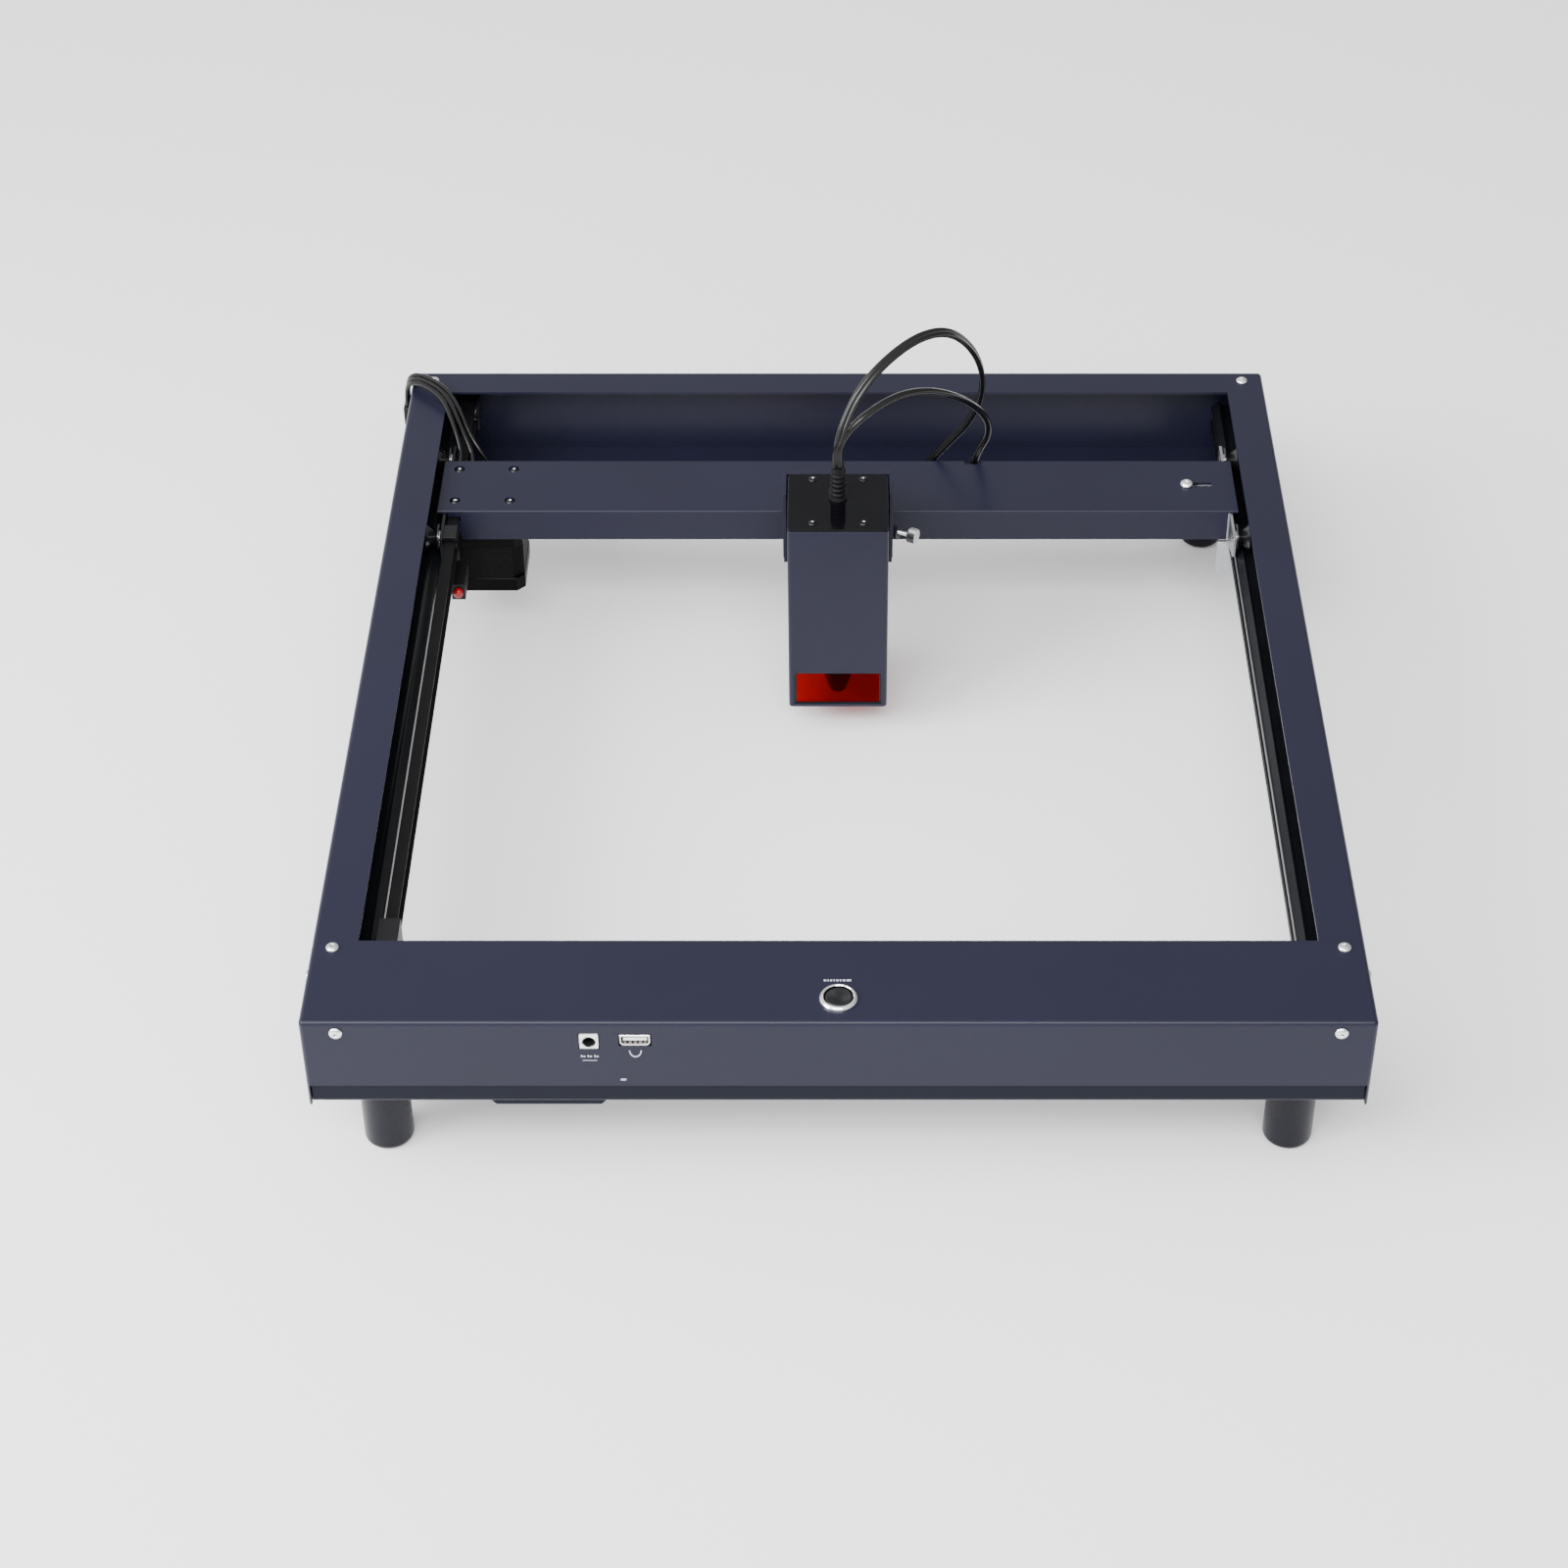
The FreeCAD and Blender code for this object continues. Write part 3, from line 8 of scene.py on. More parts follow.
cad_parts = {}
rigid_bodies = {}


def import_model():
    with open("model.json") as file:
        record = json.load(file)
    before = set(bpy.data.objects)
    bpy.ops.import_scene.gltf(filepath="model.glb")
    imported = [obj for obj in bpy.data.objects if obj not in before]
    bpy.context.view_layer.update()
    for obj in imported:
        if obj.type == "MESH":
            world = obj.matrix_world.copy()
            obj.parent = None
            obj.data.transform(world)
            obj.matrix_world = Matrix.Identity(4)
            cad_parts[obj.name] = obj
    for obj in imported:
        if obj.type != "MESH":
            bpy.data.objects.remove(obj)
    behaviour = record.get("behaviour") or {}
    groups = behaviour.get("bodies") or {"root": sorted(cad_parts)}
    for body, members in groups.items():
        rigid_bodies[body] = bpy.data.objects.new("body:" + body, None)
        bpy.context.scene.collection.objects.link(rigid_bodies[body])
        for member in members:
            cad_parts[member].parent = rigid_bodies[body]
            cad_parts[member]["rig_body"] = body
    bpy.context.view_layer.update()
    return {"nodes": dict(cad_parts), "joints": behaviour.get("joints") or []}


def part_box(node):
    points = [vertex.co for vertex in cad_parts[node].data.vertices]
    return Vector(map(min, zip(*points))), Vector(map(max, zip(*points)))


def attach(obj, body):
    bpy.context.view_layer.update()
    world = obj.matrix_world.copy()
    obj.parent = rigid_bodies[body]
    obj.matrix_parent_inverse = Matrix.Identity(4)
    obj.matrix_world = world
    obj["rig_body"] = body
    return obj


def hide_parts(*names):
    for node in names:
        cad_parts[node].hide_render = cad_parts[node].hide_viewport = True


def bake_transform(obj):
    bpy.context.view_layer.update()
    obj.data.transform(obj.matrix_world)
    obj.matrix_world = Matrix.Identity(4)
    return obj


# The looks of a desktop laser cutter, built round its CAD frame. X runs to the right, Y to the
# rear and Z up. Routes, lights and the camera are in metres; a Model is built in millimetres and
# becomes metres when it is handed over as a piece.

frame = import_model()
nodes = frame["nodes"]

MM = 0.001
X, Y, Z = Vector((1, 0, 0)), Vector((0, 1, 0)), Vector((0, 0, 1))


# ---------------------------------------------------------------- camera

def add_camera():
    camera = bpy.data.objects.new("camera", bpy.data.cameras.new("camera"))
    bpy.context.scene.collection.objects.link(camera)
    camera.location = (-0.00165, -1.366, 1.167)
    camera.rotation_euler = (math.radians(50.3), 0, 0)
    camera.data.lens = 75.44
    camera.data.shift_x = -0.0325
    camera.data.shift_y = -0.0125
    bpy.context.scene.camera = camera


# ---------------------------------------------------------------- materials

class Finish:
    """A node material with a few helpers for patterns in the object's own coordinates."""

    def __init__(self, name):
        self.material = bpy.data.materials.new(name)
        self.material.use_nodes = True
        self.tree = self.material.node_tree
        self.shader = self.tree.nodes["Principled BSDF"]
        self.where = self.add("ShaderNodeTexCoord").outputs["Object"]

    def add(self, kind, **settings):
        node = self.tree.nodes.new(kind)
        for name, value in settings.items():
            setattr(node, name, value)
        return node

    def feed(self, source, target):
        self.tree.links.new(source, target)

    def stretched(self, stretch):
        mapping = self.add("ShaderNodeMapping")
        mapping.inputs["Scale"].default_value = stretch
        self.feed(self.where, mapping.inputs["Vector"])
        return mapping.outputs["Vector"]

    def noise(self, per_metre, detail=3.0, stretch=(1, 1, 1)):
        """Noise whose features are about 1 / per_metre long, drawn out along an axis by stretch."""
        noise = self.add("ShaderNodeTexNoise")
        noise.inputs["Scale"].default_value = per_metre
        noise.inputs["Detail"].default_value = detail
        self.feed(self.stretched(stretch), noise.inputs["Vector"])
        return noise.outputs["Fac"]

    def between(self, amount, low, high, start=0.3, end=0.7):
        """A value that goes from low to high as amount goes from start to end."""
        mapped = self.add("ShaderNodeMapRange")
        for name, value in zip(("From Min", "From Max", "To Min", "To Max"), (start, end, low, high)):
            mapped.inputs[name].default_value = value
        self.feed(amount, mapped.inputs["Value"])
        return mapped.outputs["Result"]

    def tinted(self, amount, dark, light):
        mixed = self.add("ShaderNodeMix", data_type="RGBA")
        mixed.inputs["A"].default_value = (*dark, 1)
        mixed.inputs["B"].default_value = (*light, 1)
        self.feed(self.between(amount, 0, 1), mixed.inputs["Factor"])
        return mixed.outputs["Result"]

    def bumped(self, height, depth):
        bump = self.add("ShaderNodeBump")
        bump.inputs["Strength"].default_value = 1.0
        bump.inputs["Distance"].default_value = depth * MM
        self.feed(height, bump.inputs["Height"])
        self.feed(bump.outputs["Normal"], self.shader.inputs["Normal"])

    def set(self, **constants):
        for name, value in constants.items():
            self.shader.inputs[name.replace("_", " ")].default_value = value


def surface(
    name, colour, roughness, tint=0.1, cloud=14, grain=1600, depth=0.01, stretch=(1, 1, 1), **constants
):
    """A finish whose colour drifts slowly, whose roughness varies and whose grain shows in its gloss."""
    finish = Finish(name)
    dark = [channel * (1 - tint) for channel in colour]
    light = [channel * (1 + tint) for channel in colour]
    finish.feed(finish.tinted(finish.noise(cloud), dark, light), finish.shader.inputs["Base Color"])
    fine = finish.noise(grain, 2, stretch)
    finish.feed(finish.between(fine, roughness * 0.85, roughness * 1.15), finish.shader.inputs["Roughness"])
    finish.bumped(fine, depth)
    finish.set(**constants)
    return finish.material


def paint(name, colour, roughness=0.34, cloud=9, gloss=0.2):
    """Powder paint: an even colour with a very fine grain."""
    return surface(name, colour, roughness, 0.06, cloud, 2200, 0.010, Specular_IOR_Level=gloss)


def dull(name, colour, roughness, gloss=0.2):
    """Black or dark plastic and lacquer."""
    return surface(name, colour, roughness, 0.2, 40, 1500, 0.015, Specular_IOR_Level=gloss)


def metal(name, colour, roughness, tint=0.06, stretch=(1, 1, 1)):
    return surface(name, colour, roughness, tint, 90, 1500, 0.008, stretch, Metallic=1.0)


BLUE = (0.0078, 0.0080, 0.0190)
FRAME_PAINT = paint("frame_paint", BLUE)
# Darker than the frame paint: painted shade for the tray's recess under the front wall.
TRAY_PAINT_WITH_SHADE = paint("tray_paint", (0.0035, 0.0045, 0.0105), gloss=0.1)
BEAM_PAINT = paint("beam_paint", BLUE, cloud=10)
HEAD_PAINT = paint("head_paint", BLUE, 0.32, 16)
DARK_PLATE = dull("dark_plate", (0.005, 0.0055, 0.008), 0.35)
LEG_PLASTIC = dull("leg_plastic", (0.0045, 0.0045, 0.0085), 0.30, 0.18)
GLOSS_BLACK = surface("gloss_black", (0.002, 0.002, 0.003), 0.09, 0.2, 30, 300, 0.001, Specular_IOR_Level=0.1)
MOTOR_BLACK = dull("motor_black", (0.0012, 0.0012, 0.0014), 0.35, 0.05)
STACK_BLACK = dull("stack_black", (0.0012, 0.0012, 0.0014), 0.40, 0.05)
BLACK_PLASTIC = dull("black_plastic", (0.004, 0.004, 0.0048), 0.40)
WHEEL_BLACK = dull("wheel_black", (0.004, 0.004, 0.005), 0.16, 0.5)
ANODISED = dull("black_anodised", (0.004, 0.0045, 0.006), 0.32, 0.25)
FINS = dull("fin_anodised", (0.005, 0.0055, 0.008), 0.38)
BRIGHT_STEEL = metal("bright_steel", (0.78, 0.79, 0.80), 0.16)
BLACK_STEEL = metal("black_steel", (0.030, 0.031, 0.034), 0.28)
PLATE_METAL = metal("plate_metal", (0.42, 0.43, 0.45), 0.30, 0.08, (1, 0.03, 1))
PULLEY_METAL = metal("pulley_metal", (0.62, 0.63, 0.65), 0.26)
CHROME = metal("switch_chrome", (0.86, 0.86, 0.87), 0.10, 0.04)
PORT_METAL = metal("port_metal", (0.80, 0.81, 0.82), 0.18)
BRASS = metal("brass", (0.75, 0.52, 0.22), 0.25, 0.1)
BELT_RUBBER = dull("belt_rubber", (0.003, 0.003, 0.0035), 0.55, 0.1)
RED_PLASTIC = surface("red_plastic", (0.30, 0.006, 0.010), 0.22, 0.1, 80, 1200, 0.01)
JACK_PLASTIC = surface("jack_plastic", (0.74, 0.75, 0.76), 0.3, 0.04, 80, 1500, 0.01)
CABLE_JACKET = dull("lead_jacket", (0.0025, 0.0025, 0.003), 0.20, 0.35)
BOARD_GREEN = surface("board_green", (0.006, 0.05, 0.022), 0.35, 0.25, 160, 900, 0.02)
CHIP_BLACK = dull("chip_black", (0.008, 0.008, 0.0085), 0.5)
PALE_MARK = surface("pale_mark", (0.34, 0.35, 0.40), 0.5, 0.05, 200, 2000, 0.005)


def button_metal():
    """Dark metal that was turned on a lathe, so its gloss fans out from the middle."""
    finish = Finish("button_face")
    cloud = finish.noise(120)
    colour = finish.tinted(cloud, (0.030, 0.031, 0.032), (0.050, 0.051, 0.054))
    finish.feed(colour, finish.shader.inputs["Base Color"])
    finish.feed(finish.between(cloud, 0.24, 0.34), finish.shader.inputs["Roughness"])
    tangent = finish.add("ShaderNodeTangent", direction_type="RADIAL", axis="Z")
    finish.feed(tangent.outputs["Tangent"], finish.shader.inputs["Tangent"])
    finish.set(Metallic=1.0, Anisotropic=0.85)
    return finish.material


def shield_acrylic():
    """Clear red sheet: what stands behind it shows as a dark shape."""
    finish = Finish("shield_acrylic")
    cloud = finish.noise(40)
    colour = finish.tinted(cloud, (0.31, 0.0, 0.0), (0.33, 0.0, 0.0))
    finish.feed(colour, finish.shader.inputs["Base Color"])
    finish.feed(finish.between(cloud, 0.04, 0.07), finish.shader.inputs["Roughness"])
    finish.set(Transmission_Weight=1.0, IOR=1.05, Specular_IOR_Level=0.0)
    return finish.material


BUTTON_METAL = button_metal()
SHIELD = shield_acrylic()


# ---------------------------------------------------------------- mesh helpers

def standing(at, axis=Z):
    """A matrix that carries the local origin to a point and the local Z to an axis."""
    ahead = Vector(axis).normalized()
    side = Y if abs(ahead.x) > 0.9 else X
    up = ahead.cross(side).normalized()
    turn = Matrix((up.cross(ahead), up, ahead)).transposed().to_4x4()
    turn.translation = Vector(at)
    return turn


def circle(radius, count=32):
    return [
        (radius * math.cos(math.tau * step / count), radius * math.sin(math.tau * step / count))
        for step in range(count)
    ]


def hexagon(flat, count=36):
    """A hexagon with as many points as a circle, so that one can be lofted to the other."""
    points = []
    for step in range(count):
        angle = math.tau * step / count
        radius = flat / math.cos((angle % (math.tau / 6)) - math.tau / 12)
        points.append((radius * math.cos(angle), radius * math.sin(angle)))
    return points


def rounded_box(width, height, radius, steps=4):
    """The outline of a rectangle with round corners, about its middle."""
    points = []
    for quarter, (x, y) in enumerate(((1, 1), (-1, 1), (-1, -1), (1, -1))):
        for step in range(steps + 1):
            angle = math.pi / 2 * (quarter + step / steps)
            points.append(
                (
                    x * (width / 2 - radius) + radius * math.cos(angle),
                    y * (height / 2 - radius) + radius * math.sin(angle),
                )
            )
    return points


def inset(outline, distance):
    """The outline moved inwards along the normals at its points."""
    moved = []
    for index, point in enumerate(outline):
        before = Vector(point) - Vector(outline[index - 1])
        after = Vector(outline[(index + 1) % len(outline)]) - Vector(point)
        normal = Vector((-before.y - after.y, before.x + after.x)).normalized()
        moved.append((point[0] + normal.x * distance, point[1] + normal.y * distance))
    return moved


class Model:
    """A mesh in millimetres that is handed over as one piece."""

    def __init__(self):
        self.mesh = bmesh.new()
        self.materials = []

    def number(self, material):
        if material not in self.materials:
            self.materials.append(material)
        return self.materials.index(material)

    def loft(self, rings, material, place=Matrix(), caps=(True, True), closed=False):
        """Skins rings of equally many points, in order."""
        made = [[self.mesh.verts.new(place @ Vector(point)) for point in ring] for ring in rings]
        pairs = list(zip(made, made[1:]))
        if closed:
            pairs.append((made[-1], made[0]))
        faces = []
        for low, high in pairs:
            for here in range(len(low)):
                there = (here + 1) % len(low)
                faces.append(self.mesh.faces.new((low[here], low[there], high[there], high[here])))
        if not closed:
            faces += [self.mesh.faces.new(ring) for ring, wanted in zip((made[0], made[-1]), caps) if wanted]
        for face in faces:
            face.material_index = self.number(material)

    def turn(self, profile, material, place=Matrix(), count=32, closed=False):
        """Spins (radius, height) pairs about the local Z."""
        rings = [[(x, y, height) for x, y in circle(radius, count)] for radius, height in profile]
        self.loft(rings, material, place, closed=closed)

    def slab(self, outline, low, high, material, place=Matrix(), bevel=0.2):
        """Raises an outline between two heights, with its rims bevelled."""
        small = inset(outline, bevel)
        levels = [(small, low), (outline, low + bevel), (outline, high - bevel), (small, high)]
        self.loft([[(x, y, height) for x, y in ring] for ring, height in levels], material, place)

    def brick(self, low, high, material, bevel=0.25):
        """A box between two corners with all its edges bevelled."""
        low, high = Vector(low), Vector(high)
        middle = (low + high) / 2
        outline = rounded_box(high.x - low.x, high.y - low.y, bevel, 1)
        place = Matrix.Translation((middle.x, middle.y, 0))
        self.slab(outline, low.z, high.z, material, place, bevel)

    def sweep(self, points, section, material, across):
        """Carries a section along points; across is its first axis at the start."""
        rings = []
        for index, point in enumerate(points):
            ahead = (points[min(index + 1, len(points) - 1)] - points[max(index - 1, 0)]).normalized()
            across = (across - ahead * across.dot(ahead)).normalized()
            up = ahead.cross(across)
            rings.append([point + across * a + up * b for a, b in section])
        self.loft(rings, material)

    def button_head(self, at, outward, radius, height, material, socket=0.5, inside=None):
        """A domed screw head with a hexagonal socket that is a share of its radius across. A bright material
        in the socket of a dark head is a painted glint.
        """
        place = standing(at, outward)
        profile = [(radius * 0.96, 0), (radius, height * 0.12)]
        for step in range(1, 7):
            angle = math.radians(12 * step)
            profile.append((radius * math.cos(angle), height * (0.12 + 0.88 * math.sin(angle) / 0.951)))
        flat, top = radius * socket, profile[-1][1]
        dome = [[(x, y, level) for x, y in circle(size, 36)] for size, level in profile]
        if profile[-1][0] > flat * 1.25:
            dome.append([(x, y, top) for x, y in circle(flat * 1.25, 36)])
        levels = (top - 0.05, top - height * 0.5)
        lip, floor = ([(x, y, level) for x, y in hexagon(flat, 36)] for level in levels)
        self.loft([*dome, lip], material, place, caps=(True, False))
        self.loft([lip, floor], inside or material, place, caps=(False, True))

    def piece(self, name, body=None, replaces=(), slot=None, crease=35):
        """Hands the mesh over: it rides on a body, or on none."""
        bmesh.ops.remove_doubles(self.mesh, verts=self.mesh.verts, dist=1e-5)
        bmesh.ops.recalc_face_normals(self.mesh, faces=self.mesh.faces)
        data = bpy.data.meshes.new(name)
        self.mesh.to_mesh(data)
        self.mesh.free()
        data.transform(Matrix.Scale(MM, 4))
        for material in self.materials:
            data.materials.append(material)
        data.shade_smooth()
        data.set_sharp_from_angle(angle=math.radians(crease))
        made = bpy.data.objects.new(name, data)
        bpy.context.scene.collection.objects.link(made)
        shading = made.modifiers.new("shading", "WEIGHTED_NORMAL")
        shading.keep_sharp = True
        if body:
            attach(made, body)
        if replaces:
            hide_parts(*replaces)
        return made


def corners(node):
    """The lowest and highest corner of a CAD node in millimetres."""
    low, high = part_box(node)
    return low / MM, high / MM


def middle(node):
    low, high = corners(node)
    return (low + high) / 2


def body_of(node):
    return nodes[node]["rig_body"]


def welded(node):
    """A CAD node's mesh in millimetres, with its points merged and its flat areas whole."""
    mesh = bmesh.new()
    mesh.from_mesh(nodes[node].data)
    bmesh.ops.scale(mesh, vec=(1 / MM,) * 3, verts=mesh.verts)
    bmesh.ops.remove_doubles(mesh, verts=mesh.verts, dist=1e-3)
    return mesh


def refined(node, material, bevel=0.3, segments=2, slot=None, crease=35):
    """A piece that stands for a CAD node: the same shape with its sharp edges broken."""
    model = Model()
    model.mesh = welded(node)
    for face in model.mesh.faces:
        face.material_index = 0
    model.number(material)
    bmesh.ops.dissolve_limit(
        model.mesh, angle_limit=math.radians(0.5), verts=model.mesh.verts, edges=model.mesh.edges
    )
    sharp = [
        edge for edge in model.mesh.edges
        if len(edge.link_faces) == 2 and edge.calc_face_angle() > math.radians(32)
    ]
    bmesh.ops.bevel(
        model.mesh,
        geom=sharp,
        offset=bevel,
        segments=segments,
        profile=0.5,
        affect="EDGES",
        clamp_overlap=True,
    )
    return model.piece(node + "_shape", body_of(node), [node], slot, crease)


def solids(node):
    """Each separate solid of a CAD node, as a list of its points in millimetres."""
    mesh = welded(node)
    mesh.verts.ensure_lookup_table()
    seen, groups = set(), []
    for vertex in mesh.verts:
        if vertex.index in seen:
            continue
        seen.add(vertex.index)
        group, waiting = [], [vertex]
        while waiting:
            here = waiting.pop()
            group.append(here.co.copy())
            for edge in here.link_edges:
                other = edge.other_vert(here)
                if other.index not in seen:
                    seen.add(other.index)
                    waiting.append(other)
        groups.append(group)
    mesh.free()
    return groups


def screws(node):
    """Where each screw head of a group stands: its seat, the way it faces, its radius and height."""
    found = []
    for points in solids(node):
        low = [min(point[axis] for point in points) for axis in range(3)]
        high = [max(point[axis] for point in points) for axis in range(3)]
        size = [b - a for a, b in zip(low, high)]
        along = min(range(3), key=lambda axis: abs(size[axis - 1] - size[axis - 2]))
        centre = Vector([(a + b) / 2 for a, b in zip(low, high)])
        radius = size[along - 1] / 2

        def off_axis(point):
            flat = point - centre
            flat[along] = 0
            return flat.length

        rim = [point[along] for point in points if off_axis(point) > 0.95 * radius]
        outward = Vector((0, 0, 0))
        outward[along] = 1 if sum(rim) / len(rim) > centre[along] else -1
        seat = centre.copy()
        seat[along] = min(rim) if outward[along] > 0 else max(rim)
        found.append((seat, outward, radius, max(rim) - min(rim)))
    return found


def dress(material, *names):
    """A CAD node whose shape is right keeps it and gets a better material."""
    for name in names:
        for holder in nodes[name].material_slots:
            holder.material = material


# ---------------------------------------------------------------- leads

HEAD_POWER_ROUTE = (
    (-0.0005, 0.0955, 0.146),
    (-0.0005, 0.0955, 0.161),
    (-0.0005, 0.0955, 0.174),
    (0.0035, 0.099, 0.187),
    (0.012, 0.1085, 0.203),
    (0.027, 0.1215, 0.214),
    (0.044, 0.1355, 0.219),
    (0.060, 0.1495, 0.2135),
    (0.073, 0.163, 0.195),
    (0.0805, 0.175, 0.171),
    (0.0805, 0.1845, 0.146),
    (0.073, 0.192, 0.124),
    (0.061, 0.198, 0.106),
    (0.050, 0.2015, 0.089),
)
HEAD_SIGNAL_ROUTE = (
    (0.0003, 0.101, 0.146),
    (0.0003, 0.101, 0.159),
    (0.0003, 0.101, 0.1705),
    (0.006, 0.104, 0.180),
    (0.017, 0.1105, 0.187),
    (0.031, 0.122, 0.1895),
    (0.047, 0.1355, 0.1845),
    (0.063, 0.150, 0.172),
    (0.076, 0.165, 0.155),
    (0.0845, 0.179, 0.136),
    (0.0855, 0.190, 0.118),
    (0.0805, 0.1975, 0.103),
    (0.0775, 0.201, 0.089),
)
REAR_ROUTES = {
    "rear_cable_one": (
        (-0.2536, 0.268, 0.092),
        (-0.2536, 0.268, 0.101),
        (-0.2513, 0.2664, 0.1088),
        (-0.2446, 0.2624, 0.112),
        (-0.236, 0.2562, 0.112),
        (-0.2285, 0.249, 0.1106),
        (-0.2228, 0.2405, 0.108),
        (-0.2183, 0.231, 0.1048),
        (-0.2145, 0.2218, 0.1006),
        (-0.209, 0.2145, 0.0945),
        (-0.203, 0.2105, 0.0855),
        (-0.1985, 0.2105, 0.075),
        (-0.196, 0.2115, 0.0645),
        (-0.1955, 0.2115, 0.0535),
        (-0.1955, 0.2042, 0.045),
        (-0.1955, 0.19565, 0.045),
    ),
    "rear_cable_two": (
        (-0.2536, 0.264, 0.092),
        (-0.2536, 0.264, 0.101),
        (-0.2513, 0.2623, 0.1088),
        (-0.2444, 0.258, 0.112),
        (-0.236, 0.2515, 0.112),
        (-0.2292, 0.244, 0.1109),
        (-0.2242, 0.2355, 0.1086),
        (-0.2204, 0.2265, 0.1056),
        (-0.2166, 0.217, 0.102),
        (-0.2125, 0.209, 0.0978),
        (-0.21, 0.2035, 0.0935),
        (-0.21, 0.1953, 0.0935),
    ),
    "rear_cable_three": (
        (-0.2536, 0.26, 0.092),
        (-0.2536, 0.26, 0.101),
        (-0.2513, 0.2582, 0.1088),
        (-0.2446, 0.2536, 0.112),
        (-0.237, 0.247, 0.112),
        (-0.231, 0.2398, 0.1112),
        (-0.2268, 0.2315, 0.11),
        (-0.2236, 0.2235, 0.1075),
        (-0.2208, 0.216, 0.104),
        (-0.2183, 0.209, 0.0995),
        (-0.2168, 0.2035, 0.0954),
        (-0.2168, 0.1953, 0.0954),
    ),
}


def smooth_line(route):
    """Points along the NURBS line that a route's points steer."""
    curve = bpy.data.curves.new("route", "CURVE")
    curve.dimensions = "3D"
    spline = curve.splines.new("NURBS")
    spline.points.add(len(route) - 1)
    for point, place in zip(spline.points, route):
        point.co = (*place, 1)
    spline.order_u = 3
    spline.use_endpoint_u = True
    spline.resolution_u = 8
    holder = bpy.data.objects.new("route", curve)
    mesh = bpy.data.meshes.new_from_object(holder)
    points = [vertex.co.copy() for vertex in mesh.vertices]
    bpy.data.meshes.remove(mesh)
    bpy.data.objects.remove(holder)
    return points


def twin_section(lobe, spread, count=12):
    """Two round lobes side by side with a groove between them."""
    reach = math.acos(-spread / lobe)
    points = []
    for side, start in ((1, -reach), (-1, math.pi - reach)):
        for step in range(count + 1):
            angle = start + 2 * reach * step / count
            points.append((side * spread + lobe * math.cos(angle), lobe * math.sin(angle)))
    return points[:-1] if points[0] == points[-1] else points


def lead(node, route, section):
    """A lead swept along the line that its route steers, as one fixed mesh on no body."""
    line = smooth_line(route)
    model = Model()
    model.sweep([point / MM for point in line], section, CABLE_JACKET, X)
    made = model.piece(node + "_jacket", None, [node], "lead_jacket", crease=50)
    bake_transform(made)
    return made, line


def add_leads():
    power, line = lead(
        "head_power_cable", HEAD_POWER_ROUTE, twin_section(1.6, 1.15),
    )
    signal, line = lead(
        "head_signal_cable", HEAD_SIGNAL_ROUTE, circle(2, 20),
    )
    for node, route in REAR_ROUTES.items():
        made, line = lead(
            node, route, circle(1.3, 14)
        )


# ---------------------------------------------------------------- frame

def add_frame():
    refined("frame_shell", FRAME_PAINT, 0.4, slot="frame_paint")
    refined("front_tray", TRAY_PAINT_WITH_SHADE, 0.3, slot="tray_paint")
    # The service cover takes the tray's darker paint, with its painted shade.
    refined("service_cover", TRAY_PAINT_WITH_SHADE, 0.5, slot="frame_paint")
    refined("y_rail_left", ANODISED, 0.2, slot="black_anodised")
    refined("y_rail_right", ANODISED, 0.2, slot="black_anodised")
    refined("front_belt_bracket", BLACK_PLASTIC, 0.4, slot="black_plastic")
    refined("rear_idler_bracket", DARK_PLATE, 0.2, slot="plate_metal")
    dress(LEG_PLASTIC, "leg_front_left", "leg_front_right", "leg_rear_left", "leg_rear_right")


def add_screws():
    model = Model()
    for seat, outward, radius, height in screws("case_screws"):
        material = BRASS if outward.z < -0.5 else BRIGHT_STEEL
        model.button_head(seat, outward, radius, height, material, 0.42)
    model.piece("case_screw_heads", "frame", ["case_screws"], "bright_steel")


def add_power_button():
    """A push button: a bright ring in the sheet, a barrel and nut under it, a turned cap."""
    x, y, _ = middle("power_switch_body")
    cap_low, cap_high = corners("power_button_cap")
    cap_radius = (cap_high.x - cap_low.x) / 2
    place = standing((x, y, corners("power_switch_body")[1].z))
    ring_radius, barrel_radius, nut_low = 9.0, 7.8, 101.4
    model = Model()
    ring = [
        (ring_radius, -2), (ring_radius, -1.1), (ring_radius - 0.5, -0.4), (ring_radius - 1.1, -0.06),
        (ring_radius - 1.4, 0), (cap_radius + 0.75, 0), (cap_radius + 0.45, -0.3), (cap_radius + 0.4, -3),
        (barrel_radius, -3), (barrel_radius, -2),
    ]
    model.turn(ring, CHROME, place, 64, closed=True)
    thread = [(barrel_radius - 0.35 * (step % 2), -20 + step) for step in range(17)]
    barrel = [(barrel_radius, -24), *thread, (7.0, -3), (6.0, -24)]
    model.turn(barrel, CHROME, place, 40, closed=True)
    rings = [[(a, b, level) for a, b in hexagon(9.0, 48)] for level in (0, 3)]
    inner = [[(a, b, level) for a, b in circle(7.6, 48)] for level in (3, 0)]
    model.loft(rings + inner, PORT_METAL, standing((x, y, nut_low)), closed=True)
    model.piece("power_button_ring", "frame", ["power_switch_body"], "switch_chrome")

    cap = Model()
    top = cap_high.z - cap_low.z
    profile = [
        (cap_radius, 0), (cap_radius, top - 0.9), (cap_radius - 0.35, top - 0.25),
        (cap_radius - 0.8, top - 0.02), (cap_radius - 1.3, top - 0.12), (2.4, top - 0.32), (0.2, top - 0.36),
    ]
    cap.turn(profile, BUTTON_METAL, standing((x, y, cap_low.z)), 64)
    cap.piece("power_button_face", "power_button", ["power_button_cap"], "button_face", crease=60)


